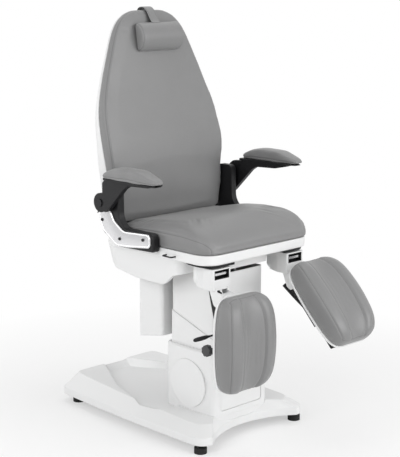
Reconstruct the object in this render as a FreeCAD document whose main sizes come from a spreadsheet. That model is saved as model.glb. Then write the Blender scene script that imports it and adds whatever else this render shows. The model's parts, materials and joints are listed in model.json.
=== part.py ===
import FreeCAD, Part
import math
import os
import re

# Podiatry chair: a moulded base with a telescopic lifting pedestal, a tilting seat with a
# reclining backrest, folding armrests and two leg rests that swing, raise, extend and tilt.
# Millimetres. +Z up, the sitter faces -Y, +X is the sitter's left hand. Heights are above the
# floor and depths are behind the line of the two front feet.

Vector = FreeCAD.Vector
Placement = FreeCAD.Placement
Rotation = FreeCAD.Rotation

SIZES = """
origin_depth 229
overrun 5
seam 0.3
shaft_clearance 0.05

foot_radius 24.5
foot_height 22
foot_stem_radius 5
front_foot_side 262
rear_foot_side 214
rear_foot_depth 778

base_front_side 290
base_middle_side 286
base_rear_side 262
base_rear 834
base_front -38
base_bottom 34
skirt_top 64
shoulder_inset 44
rim_front 96
rim_rear 128
base_front_corner 52
base_rear_corner 30
hollow_depth 43
hollow_lip 236
base_wall 9
recess_floor 92
recess_slope 44

frame_bottom 40
frame_top 66
frame_beam_wide 50
frame_plate_side 110
frame_plate_front 70
frame_plate_rear 290
foot_tab 6

pedestal_side 150
pedestal_bulge 9
pedestal_front 42
pedestal_rear 312
pedestal_seat 90
pedestal_top 348
pedestal_corner 26
pedestal_wall 5
pedestal_lid 6
pedestal_round 5
panel_side 112
panel_bottom 112
panel_top 326
panel_depth 4
panel_gap 1.5
panel_corner 12
disc_radius 96
disc_height 208
disc_proud 2.5

mid_side 138
mid_front 54
mid_rear 299
mid_bottom 205
mid_top_rear 480
mid_top_front 396
mid_corner 20
mid_wall 4

column_bottom 292
column_wall 4

tube_depth 176
guide_half 55
guide_wall 5
guide_top 420
inner_wall 5
inner_bottom 270
inner_top 640
lift_body_radius 25
lift_body_top 345
lift_bore_floor 78
lift_rod_radius 12
lift_rod_bottom 282

head_plate 8
tilt_depth 268
tilt_height 672
tilt_pin_radius 8
lug_half 19
lug_round 18
head_lug_inner 50
head_lug_thick 10
frame_lug_thick 10
tilt_rod_depth 84
tilt_body_radius 13
tilt_body_bottom 480
tilt_rod_radius 8
tilt_rod_bottom 520
tilt_bore_floor 500

shroud_side 158
shroud_front 322
shroud_rear 459
shroud_bottom_rear 340
shroud_bottom_front 366
shroud_top 630
shroud_corner 14
shroud_wall 5
shroud_tie_side 40
shroud_tie_thick 8

deck_height 722
mount_plate_thick 5
rail_section 25
rail_wide 36
rail_side 92
rail_front 46
rail_rear 466
cross_front_depth 84
cross_rear_depth 440
cross_wide 30

housing_draft 24
housing_lowest 598
housing_side 246
housing_nose_side 136
housing_front 26
housing_rear 590
housing_waist 100
housing_shoulder 132
housing_nose_round 16
housing_fold 12
housing_shoulder_round 40
housing_rear_round 86
opening_rear 492
opening_wall 9

tray_side 285
tray_front -60
tray_rear 458
tray_top 760
tray_front_corner 70
tray_rear_corner 14
tray_wall 14
tray_round 7
tray_lug_front 210
tray_lug_rear 385
tray_lug_low 746
tray_horn_inner 256
tray_horn_rear 490
tray_horn_root 440
board_thick 18
board_ledge 50

bracket_inner 292.5
bracket_outer 322
bracket_round 6
trim_thick 7
trim_chamfer 2
screw_radius 6
screw_proud 2
loop_depth 133
loop_height 738
loop_half 24
loop_reach 22
loop_bend 7
loop_wire 2.8

arm_depth 454
arm_height 904
arm_disc_radius 37
arm_inner 334
arm_outer 355
arm_edge_round 3
arm_pin_radius 9
arm_cap_radius 15
arm_cap_proud 4
shelf_outer 398
shelf_low 100
shelf_top 108.7
shelf_front -326
shelf_rear -72
arm_pad_centre 377

hinge_depth 455
hinge_height 800
back_origin_depth 470
back_tilt 8
cushion_rim_round 4
cushion_face_round 34
cushion_crown 6
cushion_bulge 2
back_plane 8
back_rim_round 4
back_side_round 10
back_crown 9
back_side_bulge 3
shell_round 10
shell_crown 20
shell_inset 4
shell_edge_round 2
hinge_pin_radius 9
hinge_ear_inner 277
hinge_ear_outer 289
hinge_ear_radius 17
back_bar_front -20
back_bar_rear 4
back_bar_low -12
bolster_tall_half 60
bolster_half 112
bolster_deep 52
bolster_shift 13
bolster_height 716
bolster_front -38.5
bolster_end_round 13
strap_half 22

leg_side 200
swivel_depth 56
swivel_post_radius 14
swivel_post_bottom 640
mount_plate_reach 62
mount_plate_root 60
mount_plate_half 28
swivel_boss_radius 32
swivel_boss_round 26
swivel_top 706
swivel_low 624
swivel_block_low 627
swivel_front -48
window_half 37.5
window_low 667
window_high 701
window_depth 30
window_rim 2.5
latch_low 680
latch_tall 9
latch_proud 7
latch_back 18

leg_hinge_depth -69
leg_hinge_height 600
cheek_inner 27
cheek_outer 35
leg_pin_radius 7
head_half 26.7
head_hole_radius 6
head_hole_rise 6
head_hole_deep 10
rail_half 18
sleeve_wall 7
sleeve_high -106
sleeve_low -192
carriage_pin_depth -26
carriage_pin_height -170
carriage_pin_radius 6
carriage_boss_radius 11
carriage_boss_half 44
carriage_ear_half 54
carriage_pin_half 58
ear_radius 12
lever_height -120
lever_pivot_side 31
lever_pivot_radius 4
lever_root_radius 9
lever_bracket_half 42
lever_bracket_tall 13
lever_front -25
lever_back -17
lever_depth -21
lever_neck_radius 3.8
lever_grip_radius 8
lever_grip_start 118
lever_grip_end 185
knob_shaft_radius 5
knob_inner 112
knob_outer 130
knob_radius 21
knob_notch_radius 5
knob_notches 8

pad_rear -54.5
pad_shell_front -64.7
pad_cushion_rear -66.3
pad_rim_round 4
pad_side_round 22
pad_side_bulge 3
pad_lobe 5
pad_trough 15
pad_edge_round 2
"""

# Outlines as (across, up, rounding radius), in millimetres.
RECESS_OUTLINE = ((-34, 792, 20), (-170, 560, 60), (-232, 352, 60), (-226, 222, 50),
                  (226, 222, 50), (232, 352, 60), (170, 560, 60), (34, 792, 20))
HOUSING_ARCH_OUTLINE = ((16, 672, 0), (47, 668, 30), (115, 662, 60), (186, 642, 40),
                        (232, 604, 30), (275, 588, 0), (16, 588, 0))
HOUSING_STERN_OUTLINE = ((340, 597, 0), (392, 598, 60), (520, 620, 50), (572, 664, 40),
                         (590, 740, 0), (610, 740, 0), (610, 580, 0), (340, 580, 0))
BRACKET_OUTLINE = ((188, 744, 12), (396, 738, 60), (478, 786, 30), (493, 840, 30),
                   (470, 880, 40), (468, 987, 22), (386, 987, 22), (384, 850, 60),
                   (352, 812, 40), (188, 812, 22))
TRIM_OUTLINE = ((200, 760, 18), (325, 745, 60), (392, 741, 60), (478, 798, 40), (495, 866, 6),
                (428, 882, 6), (404, 838, 40), (352, 804, 50), (200, 812, 22))
SCREW_PLACES = ((239.5, 787), (371.5, 772), (472, 833))
ARM_OUTLINE = ((-14, 24, 14), (-14, 80, 12), (-36, 96, 14), (-132, 103, 80), (-250, 104, 80),
               (-332, 109, 3), (-330, 100, 5), (-270, 87, 60), (-164, 82, 20), (-138, 66, 20),
               (-36, -34, 20), (-10, -30, 6))
STRAP_OUTLINE = ((-64, 768, 0), (-56, 775, 6), (-36, 818, 14), (-14, 838, 8), (10, 838, 10),
                 (24, 822, 10), (27, 744, 1), (24, 744, 1), (21, 820, 8), (9, 835, 8),
                 (-13, 835, 6), (-33, 816, 12), (-53, 773, 5), (-62, 768, 0))
CHEEK_OUTLINE = ((-50, 636, 0), (-50, 622, 6), (-86, 618, 16), (-86, 582, 17), (-60, 562, 10),
                 (-40, 572, 14), (-13, 636, 0))
LEG_HEAD_OUTLINE = ((-29, 16, 5), (-29, -42, 8), (16, -42, 8), (17, 12, 12), (8, 16, 6))
LEG_RAIL_OUTLINE = ((-12, -42, 0), (-8, -60, 6), (-8, -298, 4), (27, -298, 4), (27, -104, 20),
                    (52, 8, 6), (40, 12, 6), (29, -22, 12), (16, -42, 0))
SWIVEL_BLOCK_OUTLINE = ((-47, -104, 5), (47, -104, 5), (47, -54, 24), (29, 0, 0),
                        (-29, 0, 0), (-47, -54, 24))

# Seat cushion along its depth: depth, half width, underside and top.
CUSHION_ROWS = ((-62, 212, 768, 788), (-59, 234, 763, 798), (-52, 254, 760.6, 810),
                (-38, 270, 760.3, 826), (-16, 281, 760.3, 842), (14, 284.5, 760.3, 854),
                (70, 285.5, 760.3, 861), (140, 285.5, 760.3, 860), (200, 285, 760.3, 855),
                (320, 285, 760.3, 842), (404, 284, 760.3, 828), (426, 278, 761, 824),
                (434, 266, 765, 815))
# Armrest pad along its length: depth, half width, underside and top.
ARM_PAD_ROWS = ((-369, 19, 113.5, 127), (-362, 25, 111.2, 136), (-342, 29, 110.4, 145),
                (-290, 31, 110, 153), (-220, 31, 109.8, 156.5), (-150, 31, 109.6, 153),
                (-98, 29.5, 109.6, 142), (-70, 26, 110, 132), (-62, 18, 111.2, 124))
ARM_PAD_ROUNDS = (3, 9, 3, 1.5)
# Backrest up its length: height, half width, front of the cushion, depth of the shell and
# how far both bow backwards.
BACK_ROWS = ((8, 242, -22, 20, 1), (16, 251, -27, 34, 1), (45, 258, -33, 46, 2),
             (100, 272, -39, 52, -4), (190, 288, -43, 50, -14), (260, 299, -46, 44, -20),
             (330, 301, -47, 34, -16), (376, 298, -46, 30, -10), (440, 291, -43, 24, -5),
             (520, 268, -38, 18, 0), (610, 236, -34, 15, 0), (690, 204, -31, 13, 0),
             (750, 176, -28, 11, 0), (790, 143, -26, 9, 0), (812, 108, -23, 8, 0),
             (824, 66, -18, 6, 0))
# Leg pad down its length: height, half width, front of the lobes, rear of the shell.
LEG_PAD_ROWS = ((26, 60, -98, -60), (22, 80, -108, -57.5), (12, 96, -120, -56),
                (-8, 108.5, -133, -55), (-42, 117, -144, -54.5), (-92, 122, -150, -54.5),
                (-152, 123.5, -152.5, -54.5), (-213, 122, -150, -54.5), (-263, 117, -144, -54.5),
                (-297, 108.5, -133, -55), (-317, 96, -120, -56), (-327, 80, -108, -57.5),
                (-331, 60, -98, -60))
TURN_SHARE = math.sqrt(0.5)
HALF = 0.5
LOBE_SHARE = 0.46
FRONT_ROUND_SHARE = 0.6
SHELL_ROUND_SHARE = 0.42
QUARTER_TURN = 90.0
RAISED = {"right": 0.0, "left": 43.0}

doc = FreeCAD.newDocument("PodiatryChair")
sheet = doc.addObject("Spreadsheet::Sheet", "Sizes")
row = 0
for line in SIZES.split("\n"):
    if line.strip():
        row += 1
        alias, amount = line.split()
        sheet.set("A%d" % row, alias)
        sheet.set("B%d" % row, amount)
        sheet.setAlias("B%d" % row, alias)
doc.recompute()


# A size is read from the sheet by its name, as v.name.
class SheetValues:
    def __getattr__(self, alias):
        return float(sheet.get(alias))


v = SheetValues()
parts_made = []


# A written sum of size names becomes an expression on the sheet.
def bind(item, prop, text):
    item.setExpression(prop, re.sub(r"[a-z][a-z0-9_]+", lambda word: "Sizes." + word.group(), text))


# Lines and tangent arcs through corner points, each with its own rounding radius.
def rounded(rows):
    count = len(rows)
    corners = [Vector(a, b, 0) for a, b, radius in rows]
    starts, ends, middles = [], [], []
    for index, (a, b, radius) in enumerate(rows):
        here = corners[index]
        if radius <= 0:
            starts.append(here)
            ends.append(here)
            middles.append(None)
            continue
        back = (corners[index - 1] - here).normalize()
        ahead = (corners[(index + 1) % count] - here).normalize()
        half_angle = back.getAngle(ahead) * HALF
        reach = radius / math.tan(half_angle)
        inward = (back + ahead).normalize()
        centre = here + inward * (radius / math.sin(half_angle))
        starts.append(here + back * reach)
        ends.append(here + ahead * reach)
        middles.append(centre - inward * radius)
    edges = []
    for index in range(count):
        following = (index + 1) % count
        if middles[index] is not None:
            edges.append(Part.Arc(starts[index], middles[index], ends[index]))
        if not ends[index].isEqual(starts[following], TINY):
            edges.append(Part.LineSegment(ends[index], starts[following]))
    return edges


TINY = 1e-6


def shifted(rows, across=0, up=0):
    return [(a + across, b + up, radius) for a, b, radius in rows]


def box(left, right, low, high, radius=0):
    return rounded([(left, low, radius), (right, low, radius),
                    (right, high, radius), (left, high, radius)])


def circle(a, b, radius):
    return [Part.Circle(Vector(a, b, 0), Vector(0, 0, 1), radius)]


def new_body(label):
    body = doc.addObject("PartDesign::Body", label)
    body.Label = label
    parts_made.append(body)
    return body


def plane_of(body, role):
    return next(item for item in body.Origin.OriginFeatures if item.Role == role)


def sketch_on(body, role, edges, offset):
    sketch = body.newObject("Sketcher::SketchObject", body.Name + "_Sketch")
    sketch.AttachmentSupport = [(plane_of(body, role), "")]
    sketch.MapMode = "FlatFace"
    if isinstance(offset, str):
        bind(sketch, "AttachmentOffset.Base.z", offset)
    else:
        sketch.AttachmentOffset = Placement(Vector(0, 0, offset), Rotation())
    sketch.addGeometry(edges, False)
    return sketch


def finish_feature(body, feature, cuts, before):
    doc.recompute()
    body.Tip = feature
    if feature.Shape.isNull() or "Invalid" in feature.State:
        raise RuntimeError("%s: %s fails, %s" % (body.Label, feature.Name,
                                                 feature.getStatusString()))
    if cuts and not feature.Shape.Volume < before:
        raise RuntimeError("%s: %s cuts nothing" % (body.Label, feature.Name))
    return feature


# Solid or hollow between two places along the plane's axis. The XZ plane looks along -Y.
def extrude(body, role, edges, low, high):
    feature = body.newObject("PartDesign::Pad", body.Name + "_Pad")
    offset = "-(%s)" % high if role == "XZ_Plane" else low
    feature.Profile = sketch_on(body, role, edges, offset)
    bind(feature, "Length", "(%s) - (%s)" % (high, low))
    return finish_feature(body, feature, False, 0)


def carve(body, role, edges, low, high):
    before = body.Shape.Volume
    feature = body.newObject("PartDesign::Pocket", body.Name + "_Pocket")
    offset = "-(%s)" % low if role == "XZ_Plane" else high
    feature.Profile = sketch_on(body, role, edges, offset)
    bind(feature, "Length", "(%s) - (%s)" % (high, low))
    return finish_feature(body, feature, True, before)


def loft(body, role, sections, ruled=False, kind="AdditiveLoft"):
    before = body.Shape.Volume if kind == "SubtractiveLoft" else 0
    feature = body.newObject("PartDesign::" + kind, body.Name + "_Loft")
    sketches = [sketch_on(body, role, edges, offset) for offset, edges in sections]
    feature.Profile = sketches[0]
    feature.Sections = sketches[1:]
    feature.Ruled = ruled
    return finish_feature(body, feature, kind == "SubtractiveLoft", before)


# Rounds or chamfers the edges whose middle point passes a test.
def soften(body, size, test, kind="Fillet"):
    chosen = []
    for number, edge in enumerate(body.Shape.Edges, 1):
        middle = edge.valueAt((edge.FirstParameter + edge.LastParameter) * HALF)
        if test(middle):
            chosen.append("Edge%d" % number)
    if not chosen:
        raise RuntimeError("%s: no edge to soften" % body.Label)
    last = body.Tip
    feature = body.newObject("PartDesign::" + kind, body.Name + "_" + kind)
    feature.Base = (last, chosen)
    bind(feature, "Radius" if kind == "Fillet" else "Size", size)
    return finish_feature(body, feature, False, 0)


def near(a, b):
    return abs(a - b) < NEAR_GAP


NEAR_GAP = 0.01


def place(part, x=0, y=0, z=0, axis=(1, 0, 0), degrees=0.0):
    part.Placement = Placement(Vector(x, y - v.origin_depth, z), Rotation(Vector(*axis), degrees))


# Two places on one side, turned over for the right-hand side.
def on_side(side, low, high):
    return (low, high) if side > 0 else ("-(%s)" % high, "-(%s)" % low)


# A ring for padded things: flat back, rounded corners, bulging sides, a crowned face or,
# with a trough, two lobes with a hollow between them.
def padded_ring(half, back, face, rounds, trough=0):
    back_round, face_round, crown, bulge = rounds
    way = 1 if face > back else -1
    back_in = back_round * (1 - TURN_SHARE)
    face_in = face_round * (1 - TURN_SHARE)
    low_side = back + way * back_round
    high_side = face - way * face_round
    middle = (low_side + high_side) * HALF
    right = half - face_round
    edges = [Part.LineSegment(Vector(-half + back_round, back, 0),
                              Vector(half - back_round, back, 0)),
             Part.Arc(Vector(half - back_round, back, 0),
                      Vector(half - back_in, back + way * back_in, 0), Vector(half, low_side, 0)),
             Part.Arc(Vector(half, low_side, 0), Vector(half + bulge, middle, 0),
                      Vector(half, high_side, 0)),
             Part.Arc(Vector(half, high_side, 0), Vector(half - face_in, face - way * face_in, 0),
                      Vector(right, face, 0))]
    if trough:
        inner = half * LOBE_SHARE
        edge = face - way * trough * LOBE_DROP_SHARE
        between = (right + inner) * HALF
        edges += [Part.Arc(Vector(right, face, 0), Vector(between, face + way * crown, 0),
                           Vector(inner, edge, 0)),
                  Part.Arc(Vector(inner, edge, 0), Vector(0, face - way * trough, 0),
                           Vector(-inner, edge, 0)),
                  Part.Arc(Vector(-inner, edge, 0), Vector(-between, face + way * crown, 0),
                           Vector(-right, face, 0))]
    else:
        edges += [Part.Arc(Vector(right, face, 0), Vector(0, face + way * crown, 0),
                           Vector(-right, face, 0))]
    return edges + [
        Part.Arc(Vector(-right, face, 0), Vector(-half + face_in, face - way * face_in, 0),
                 Vector(-half, high_side, 0)),
        Part.Arc(Vector(-half, high_side, 0), Vector(-half - bulge, middle, 0),
                 Vector(-half, low_side, 0)),
        Part.Arc(Vector(-half, low_side, 0), Vector(-half + back_in, back + way * back_in, 0),
                 Vector(-half + back_round, back, 0))]


LOBE_DROP_SHARE = 0.15

# Levelling feet: a rubber disc under a threaded stem, four alike.
feet_parts = []
for x, y in ((-v.front_foot_side, 0), (v.front_foot_side, 0),
             (-v.rear_foot_side, v.rear_foot_depth), (v.rear_foot_side, v.rear_foot_depth)):
    pieces = []
    for kind, radius, tall in (("Disc", "foot_radius", "foot_height"),
                               ("Stem", "foot_stem_radius", "frame_bottom")):
        piece = doc.addObject("Part::Cylinder", "Foot" + kind)
        bind(piece, "Radius", radius)
        bind(piece, "Height", tall)
        piece.Placement = Placement(Vector(x, y, 0), Rotation())
        pieces.append(piece)
    foot = doc.addObject("Part::Fuse", "Foot")
    foot.Base, foot.Tool = pieces
    feet_parts.append(foot)
feet = doc.addObject("Part::Compound", "levelling_feet")
feet.Links = feet_parts
feet.Label = "levelling_feet"
place(feet)
parts_made.append(feet)


# Plan of the moulded base, drawn in by an inset: gently bulging sides, rounded corners and a
# front edge that curves back between the two front feet.
def base_plan(inset):
    front_side = v.base_front_side - inset
    middle_side = v.base_middle_side - inset
    rear_side = v.base_rear_side - inset
    front = v.base_front + inset
    rear = v.base_rear - inset
    big = v.base_front_corner
    small = v.base_rear_corner
    big_cut = big * (1 - TURN_SHARE)
    small_cut = small * (1 - TURN_SHARE)
    middle = (front + rear) * HALF
    lip = v.hollow_lip - inset
    hollow = v.hollow_depth + inset
    start = Vector(front_side, front + big, 0)
    return [Part.Arc(start, Vector(middle_side, middle, 0), Vector(rear_side, rear - small, 0)),
            Part.Arc(Vector(rear_side, rear - small, 0),
                     Vector(rear_side - small_cut, rear - small_cut, 0),
                     Vector(rear_side - small, rear, 0)),
            Part.LineSegment(Vector(rear_side - small, rear, 0),
                             Vector(-rear_side + small, rear, 0)),
            Part.Arc(Vector(-rear_side + small, rear, 0),
                     Vector(-rear_side + small_cut, rear - small_cut, 0),
                     Vector(-rear_side, rear - small, 0)),
            Part.Arc(Vector(-rear_side, rear - small, 0), Vector(-middle_side, middle, 0),
                     Vector(-front_side, front + big, 0)),
            Part.Arc(Vector(-front_side, front + big, 0),
                     Vector(-front_side + big_cut, front + big_cut, 0), Vector(-lip, front, 0)),
            Part.Arc(Vector(-lip, front, 0), Vector(0, hollow, 0), Vector(lip, front, 0)),
            Part.Arc(Vector(lip, front, 0),
                     Vector(front_side - big_cut, front + big_cut, 0), start)]


# Moulded base cover: vertical skirt, sloping shoulders that rise to the rear, and a dished
# floor that widens from the rear rim to the pedestal.
base = new_body("base_cover")
extrude(base, "XY_Plane", base_plan(0), "base_bottom", "skirt_top")
crest = sketch_on(base, "XY_Plane", base_plan(v.shoulder_inset), 0)
rim_rise = v.rim_rear - v.rim_front
rim_angle = math.degrees(math.atan2(rim_rise, v.base_rear - v.base_front))
crest.AttachmentOffset = (Placement(Vector(0, v.base_front, v.rim_front),
                                    Rotation(Vector(1, 0, 0), rim_angle))
                          * Placement(Vector(0, -v.base_front, 0), Rotation()))
shoulder = base.newObject("PartDesign::AdditiveLoft", "base_shoulder")
shoulder.Profile = sketch_on(base, "XY_Plane", base_plan(0), "skirt_top")
shoulder.Sections = [crest]
shoulder.Ruled = True
finish_feature(base, shoulder, False, 0)


def dish(grow):
    grown = []
    for a, b, radius in RECESS_OUTLINE:
        away = math.copysign(grow, a)
        up = grow if b > v.rear_foot_depth else 0
        grown.append((a + away, b + up, radius))
    return rounded(grown)


loft(base, "XY_Plane", [("recess_floor", dish(-v.recess_slope * HALF)),
                        ("rim_rear + overrun", dish(v.recess_slope * HALF))],
     True, "SubtractiveLoft")
carve(base, "XY_Plane", base_plan(v.base_wall), "base_bottom", "frame_top + seam")


# Plan of the pedestal cover: straight front and rear, sides that bulge a little.
def pedestal_plan(inset):
    side = v.pedestal_side - inset
    front = v.pedestal_front + inset
    rear = v.pedestal_rear - inset
    corner = v.pedestal_corner - inset
    cut = corner * (1 - TURN_SHARE)
    middle = (front + rear) * HALF
    edges = [Part.LineSegment(Vector(-side + corner, front, 0), Vector(side - corner, front, 0))]
    for way, begin, end in ((1, front, rear), (-1, rear, front)):
        turn = 1 if end > begin else -1
        edges += [Part.Arc(Vector(way * (side - corner), begin, 0),
                           Vector(way * (side - cut), begin + turn * cut, 0),
                           Vector(way * side, begin + turn * corner, 0)),
                  Part.Arc(Vector(way * side, begin + turn * corner, 0),
                           Vector(way * (side + v.pedestal_bulge), middle, 0),
                           Vector(way * side, end - turn * corner, 0)),
                  Part.Arc(Vector(way * side, end - turn * corner, 0),
                           Vector(way * (side - cut), end - turn * cut, 0),
                           Vector(way * (side - corner), end, 0))]
        if way > 0:
            edges.append(Part.LineSegment(Vector(side - corner, rear, 0),
                                          Vector(-side + corner, rear, 0)))
    return edges


# The pedestal cover stands in a shallow rebate, over an opening for the lifting column.
carve(base, "XY_Plane", pedestal_plan(-v.seam), "pedestal_seat", "rim_rear + overrun")
carve(base, "XY_Plane", pedestal_plan(v.pedestal_wall * 2), "frame_top - overrun", "rim_rear")
place(base)

# Steel base frame: two long beams, two cross beams and the plate that carries the column.
frame = new_body("base_frame")
beam = v.frame_beam_wide * HALF
extrude(frame, "XY_Plane", box(-v.frame_plate_side, v.frame_plate_side,
                               v.frame_plate_front, v.frame_plate_rear),
        "frame_bottom", "frame_top")
for side in (-1, 1):
    x = side * v.frame_plate_side
    extrude(frame, "XY_Plane", box(x - beam, x + beam, v.frame_plate_front, v.rear_foot_depth),
            "frame_bottom", "frame_top")
tab_outer = v.front_foot_side + v.foot_tab
tab_inner = v.front_foot_side - beam * HALF
extrude(frame, "XY_Plane", rounded([(-tab_outer, -v.foot_tab, 0), (-tab_inner, -v.foot_tab, 0),
                                    (-v.frame_plate_side, v.frame_plate_front, 0),
                                    (v.frame_plate_side, v.frame_plate_front, 0),
                                    (tab_inner, -v.foot_tab, 0), (tab_outer, -v.foot_tab, 0),
                                    (tab_outer, beam * HALF, 0),
                                    (v.frame_plate_side, v.frame_plate_front + beam * 2, 0),
                                    (-v.frame_plate_side, v.frame_plate_front + beam * 2, 0),
                                    (-tab_outer, beam * HALF, 0)]),
        "frame_bottom", "frame_top")
extrude(frame, "XY_Plane", box(-v.rear_foot_side - beam * HALF, v.rear_foot_side + beam * HALF,
                               v.rear_foot_depth - beam, v.rear_foot_depth + beam),
        "frame_bottom", "frame_top")
place(frame)


# Plan of the middle sleeve and of the column cover that runs inside it.
def mid_plan(inset):
    return box(-v.mid_side + inset, v.mid_side - inset, v.mid_front + inset,
               v.mid_rear - inset, v.mid_corner - inset)


def column_plan(inset):
    return mid_plan(v.mid_wall + v.seam + inset)


# Pedestal cover: bulging side walls, an embossed disc on each side and a framed front.
pedestal = new_body("pedestal_cover")
extrude(pedestal, "XY_Plane", pedestal_plan(0), "pedestal_seat",
        "pedestal_top - pedestal_round")
loft(pedestal, "XY_Plane", [("pedestal_top - pedestal_round", pedestal_plan(0)),
                            ("pedestal_top", pedestal_plan(v.pedestal_round))], True)
for side in (-1, 1):
    low, high = on_side(side, "pedestal_side - overrun",
                        "pedestal_side + pedestal_bulge + disc_proud")
    disc = extrude(pedestal, "YZ_Plane",
                   circle((v.pedestal_front + v.pedestal_rear) * HALF, v.disc_height,
                          v.disc_radius), low, high)
carve(pedestal, "XZ_Plane", box(-v.panel_side, v.panel_side, v.panel_bottom, v.panel_top,
                                v.panel_corner),
      "pedestal_front - overrun", "pedestal_front + panel_depth")
carve(pedestal, "XY_Plane", pedestal_plan(v.pedestal_wall + v.panel_depth), "pedestal_seat",
      "pedestal_top - pedestal_lid")
carve(pedestal, "XY_Plane", mid_plan(-v.seam), "pedestal_seat", "pedestal_top + overrun")
place(pedestal)

panel = new_body("pedestal_front_panel")
reach = v.panel_gap
extrude(panel, "XZ_Plane", box(-v.panel_side + reach, v.panel_side - reach,
                               v.panel_bottom + reach, v.panel_top - reach,
                               v.panel_corner - reach),
        "pedestal_front + panel_gap", "pedestal_front + panel_depth")
place(panel)

# Telescopic covers: the middle sleeve has its top cut on a slope.
mid = new_body("mid_cover")
extrude(mid, "XY_Plane", mid_plan(0), "mid_bottom", "mid_top_rear")
rise = (v.mid_top_rear - v.mid_top_front) / (v.mid_rear - v.mid_front)
past = v.overrun
carve(mid, "YZ_Plane", rounded([(v.mid_front - past, v.mid_top_front - rise * past, 0),
                                (v.mid_rear + past, v.mid_top_rear + rise * past, 0),
                                (v.mid_rear + past, v.mid_top_rear + past * 2, 0),
                                (v.mid_front - past, v.mid_top_rear + past * 2, 0)]),
      "-mid_side - overrun", "mid_side + overrun")
carve(mid, "XY_Plane", mid_plan(v.mid_wall), "mid_bottom", "mid_top_rear + overrun")
place(mid)

column = new_body("column_cover")
extrude(column, "XY_Plane", column_plan(0), "column_bottom", "inner_top + head_plate")
carve(column, "XY_Plane", column_plan(v.column_wall), "column_bottom",
      "inner_top + head_plate + overrun")
tie_slot = v.shroud_tie_side + v.seam
carve(column, "XZ_Plane", box(-tie_slot, tie_slot, v.shroud_top,
                              v.inner_top + v.head_plate + v.overrun),
      "mid_rear - mid_wall - seam - column_wall - overrun", "mid_rear")
place(column)


# Lifting tubes and the motor-driven spindle inside them.
def square_tube(label, half, wall, low, high):
    body = new_body(label)
    for reach, work in ((half, extrude), (half - wall, carve)):
        top = high if work is extrude else high + " + overrun"
        work(body, "XY_Plane", box(-reach, reach, v.tube_depth - reach, v.tube_depth + reach),
             low, top)
    place(body)


inner_half = v.guide_half - v.guide_wall - v.seam
square_tube("lift_guide_tube", v.guide_half, v.guide_wall, "frame_top", "guide_top")
square_tube("lift_inner_tube", inner_half, v.inner_wall, "inner_bottom", "inner_top")
lift_body = new_body("lift_actuator_body")
extrude(lift_body, "XY_Plane", circle(0, v.tube_depth, v.lift_body_radius),
        "frame_top", "lift_body_top")
carve(lift_body, "XY_Plane", circle(0, v.tube_depth, v.lift_rod_radius + v.shaft_clearance),
      "lift_bore_floor", "lift_body_top + overrun")
place(lift_body)
lift_rod = new_body("lift_actuator_rod")
extrude(lift_rod, "XY_Plane", circle(0, v.tube_depth, v.lift_rod_radius),
        "lift_rod_bottom", "inner_top")
place(lift_rod)


# A lug outline round the tilt pin, standing on or hanging from a level.
def lug(level, pin_level, far):
    way = 1 if far > level else -1
    tip = pin_level + way * v.lug_half
    left, right = v.tilt_depth - v.lug_half, v.tilt_depth + v.lug_half
    return rounded([(left, level, 0), (right, level, 0), (right, tip, v.lug_round),
                    (left, tip, v.lug_round)])


# Column head: a plate on the inner tube with two lugs and the seat's tilt pin, and a tie for
# the rear shroud.
head = new_body("column_head")
head_rear = v.mid_rear - v.mid_wall - v.seam
tie_front = head_rear - v.column_wall - v.overrun
extrude(head, "XY_Plane", column_plan(v.column_wall), "inner_top", "inner_top + head_plate")
carve(head, "XY_Plane", circle(0, v.tilt_rod_depth, v.tilt_rod_radius + v.shaft_clearance),
      "inner_top - overrun", "inner_top + head_plate + overrun")
for side in (-1, 1):
    low, high = on_side(side, "head_lug_inner", "head_lug_inner + head_lug_thick")
    extrude(head, "YZ_Plane", lug(v.inner_top, v.tilt_height, v.tilt_height), low, high)
pin_end = "head_lug_inner + head_lug_thick + frame_lug_thick + seam"
extrude(head, "YZ_Plane", circle(v.tilt_depth, v.tilt_height, v.tilt_pin_radius),
        "-(" + pin_end + ")", pin_end)
extrude(head, "XY_Plane", box(-v.shroud_tie_side, v.shroud_tie_side, tie_front,
                              v.shroud_front + v.overrun),
        "shroud_top + seam", "shroud_top + seam + shroud_tie_thick")
extrude(head, "XY_Plane", box(-v.shroud_tie_side, v.shroud_tie_side, tie_front, head_rear),
        "shroud_top + seam", "inner_top + head_plate")
place(head)

# Tilt actuator hanging under the head plate, its rod carries the seat frame's front beam.
tilt_body = new_body("tilt_actuator_body")
extrude(tilt_body, "XY_Plane", circle(0, v.tilt_rod_depth, v.tilt_body_radius),
        "tilt_body_bottom", "inner_top")
carve(tilt_body, "XY_Plane", circle(0, v.tilt_rod_depth, v.tilt_rod_radius + v.shaft_clearance),
      "tilt_bore_floor", "inner_top + overrun")
place(tilt_body)
tilt_rod = new_body("tilt_actuator_rod")
extrude(tilt_rod, "XY_Plane", circle(0, v.tilt_rod_depth, v.tilt_rod_radius),
        "tilt_rod_bottom", "deck_height - mount_plate_thick - rail_section - seam")
place(tilt_rod)

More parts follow.
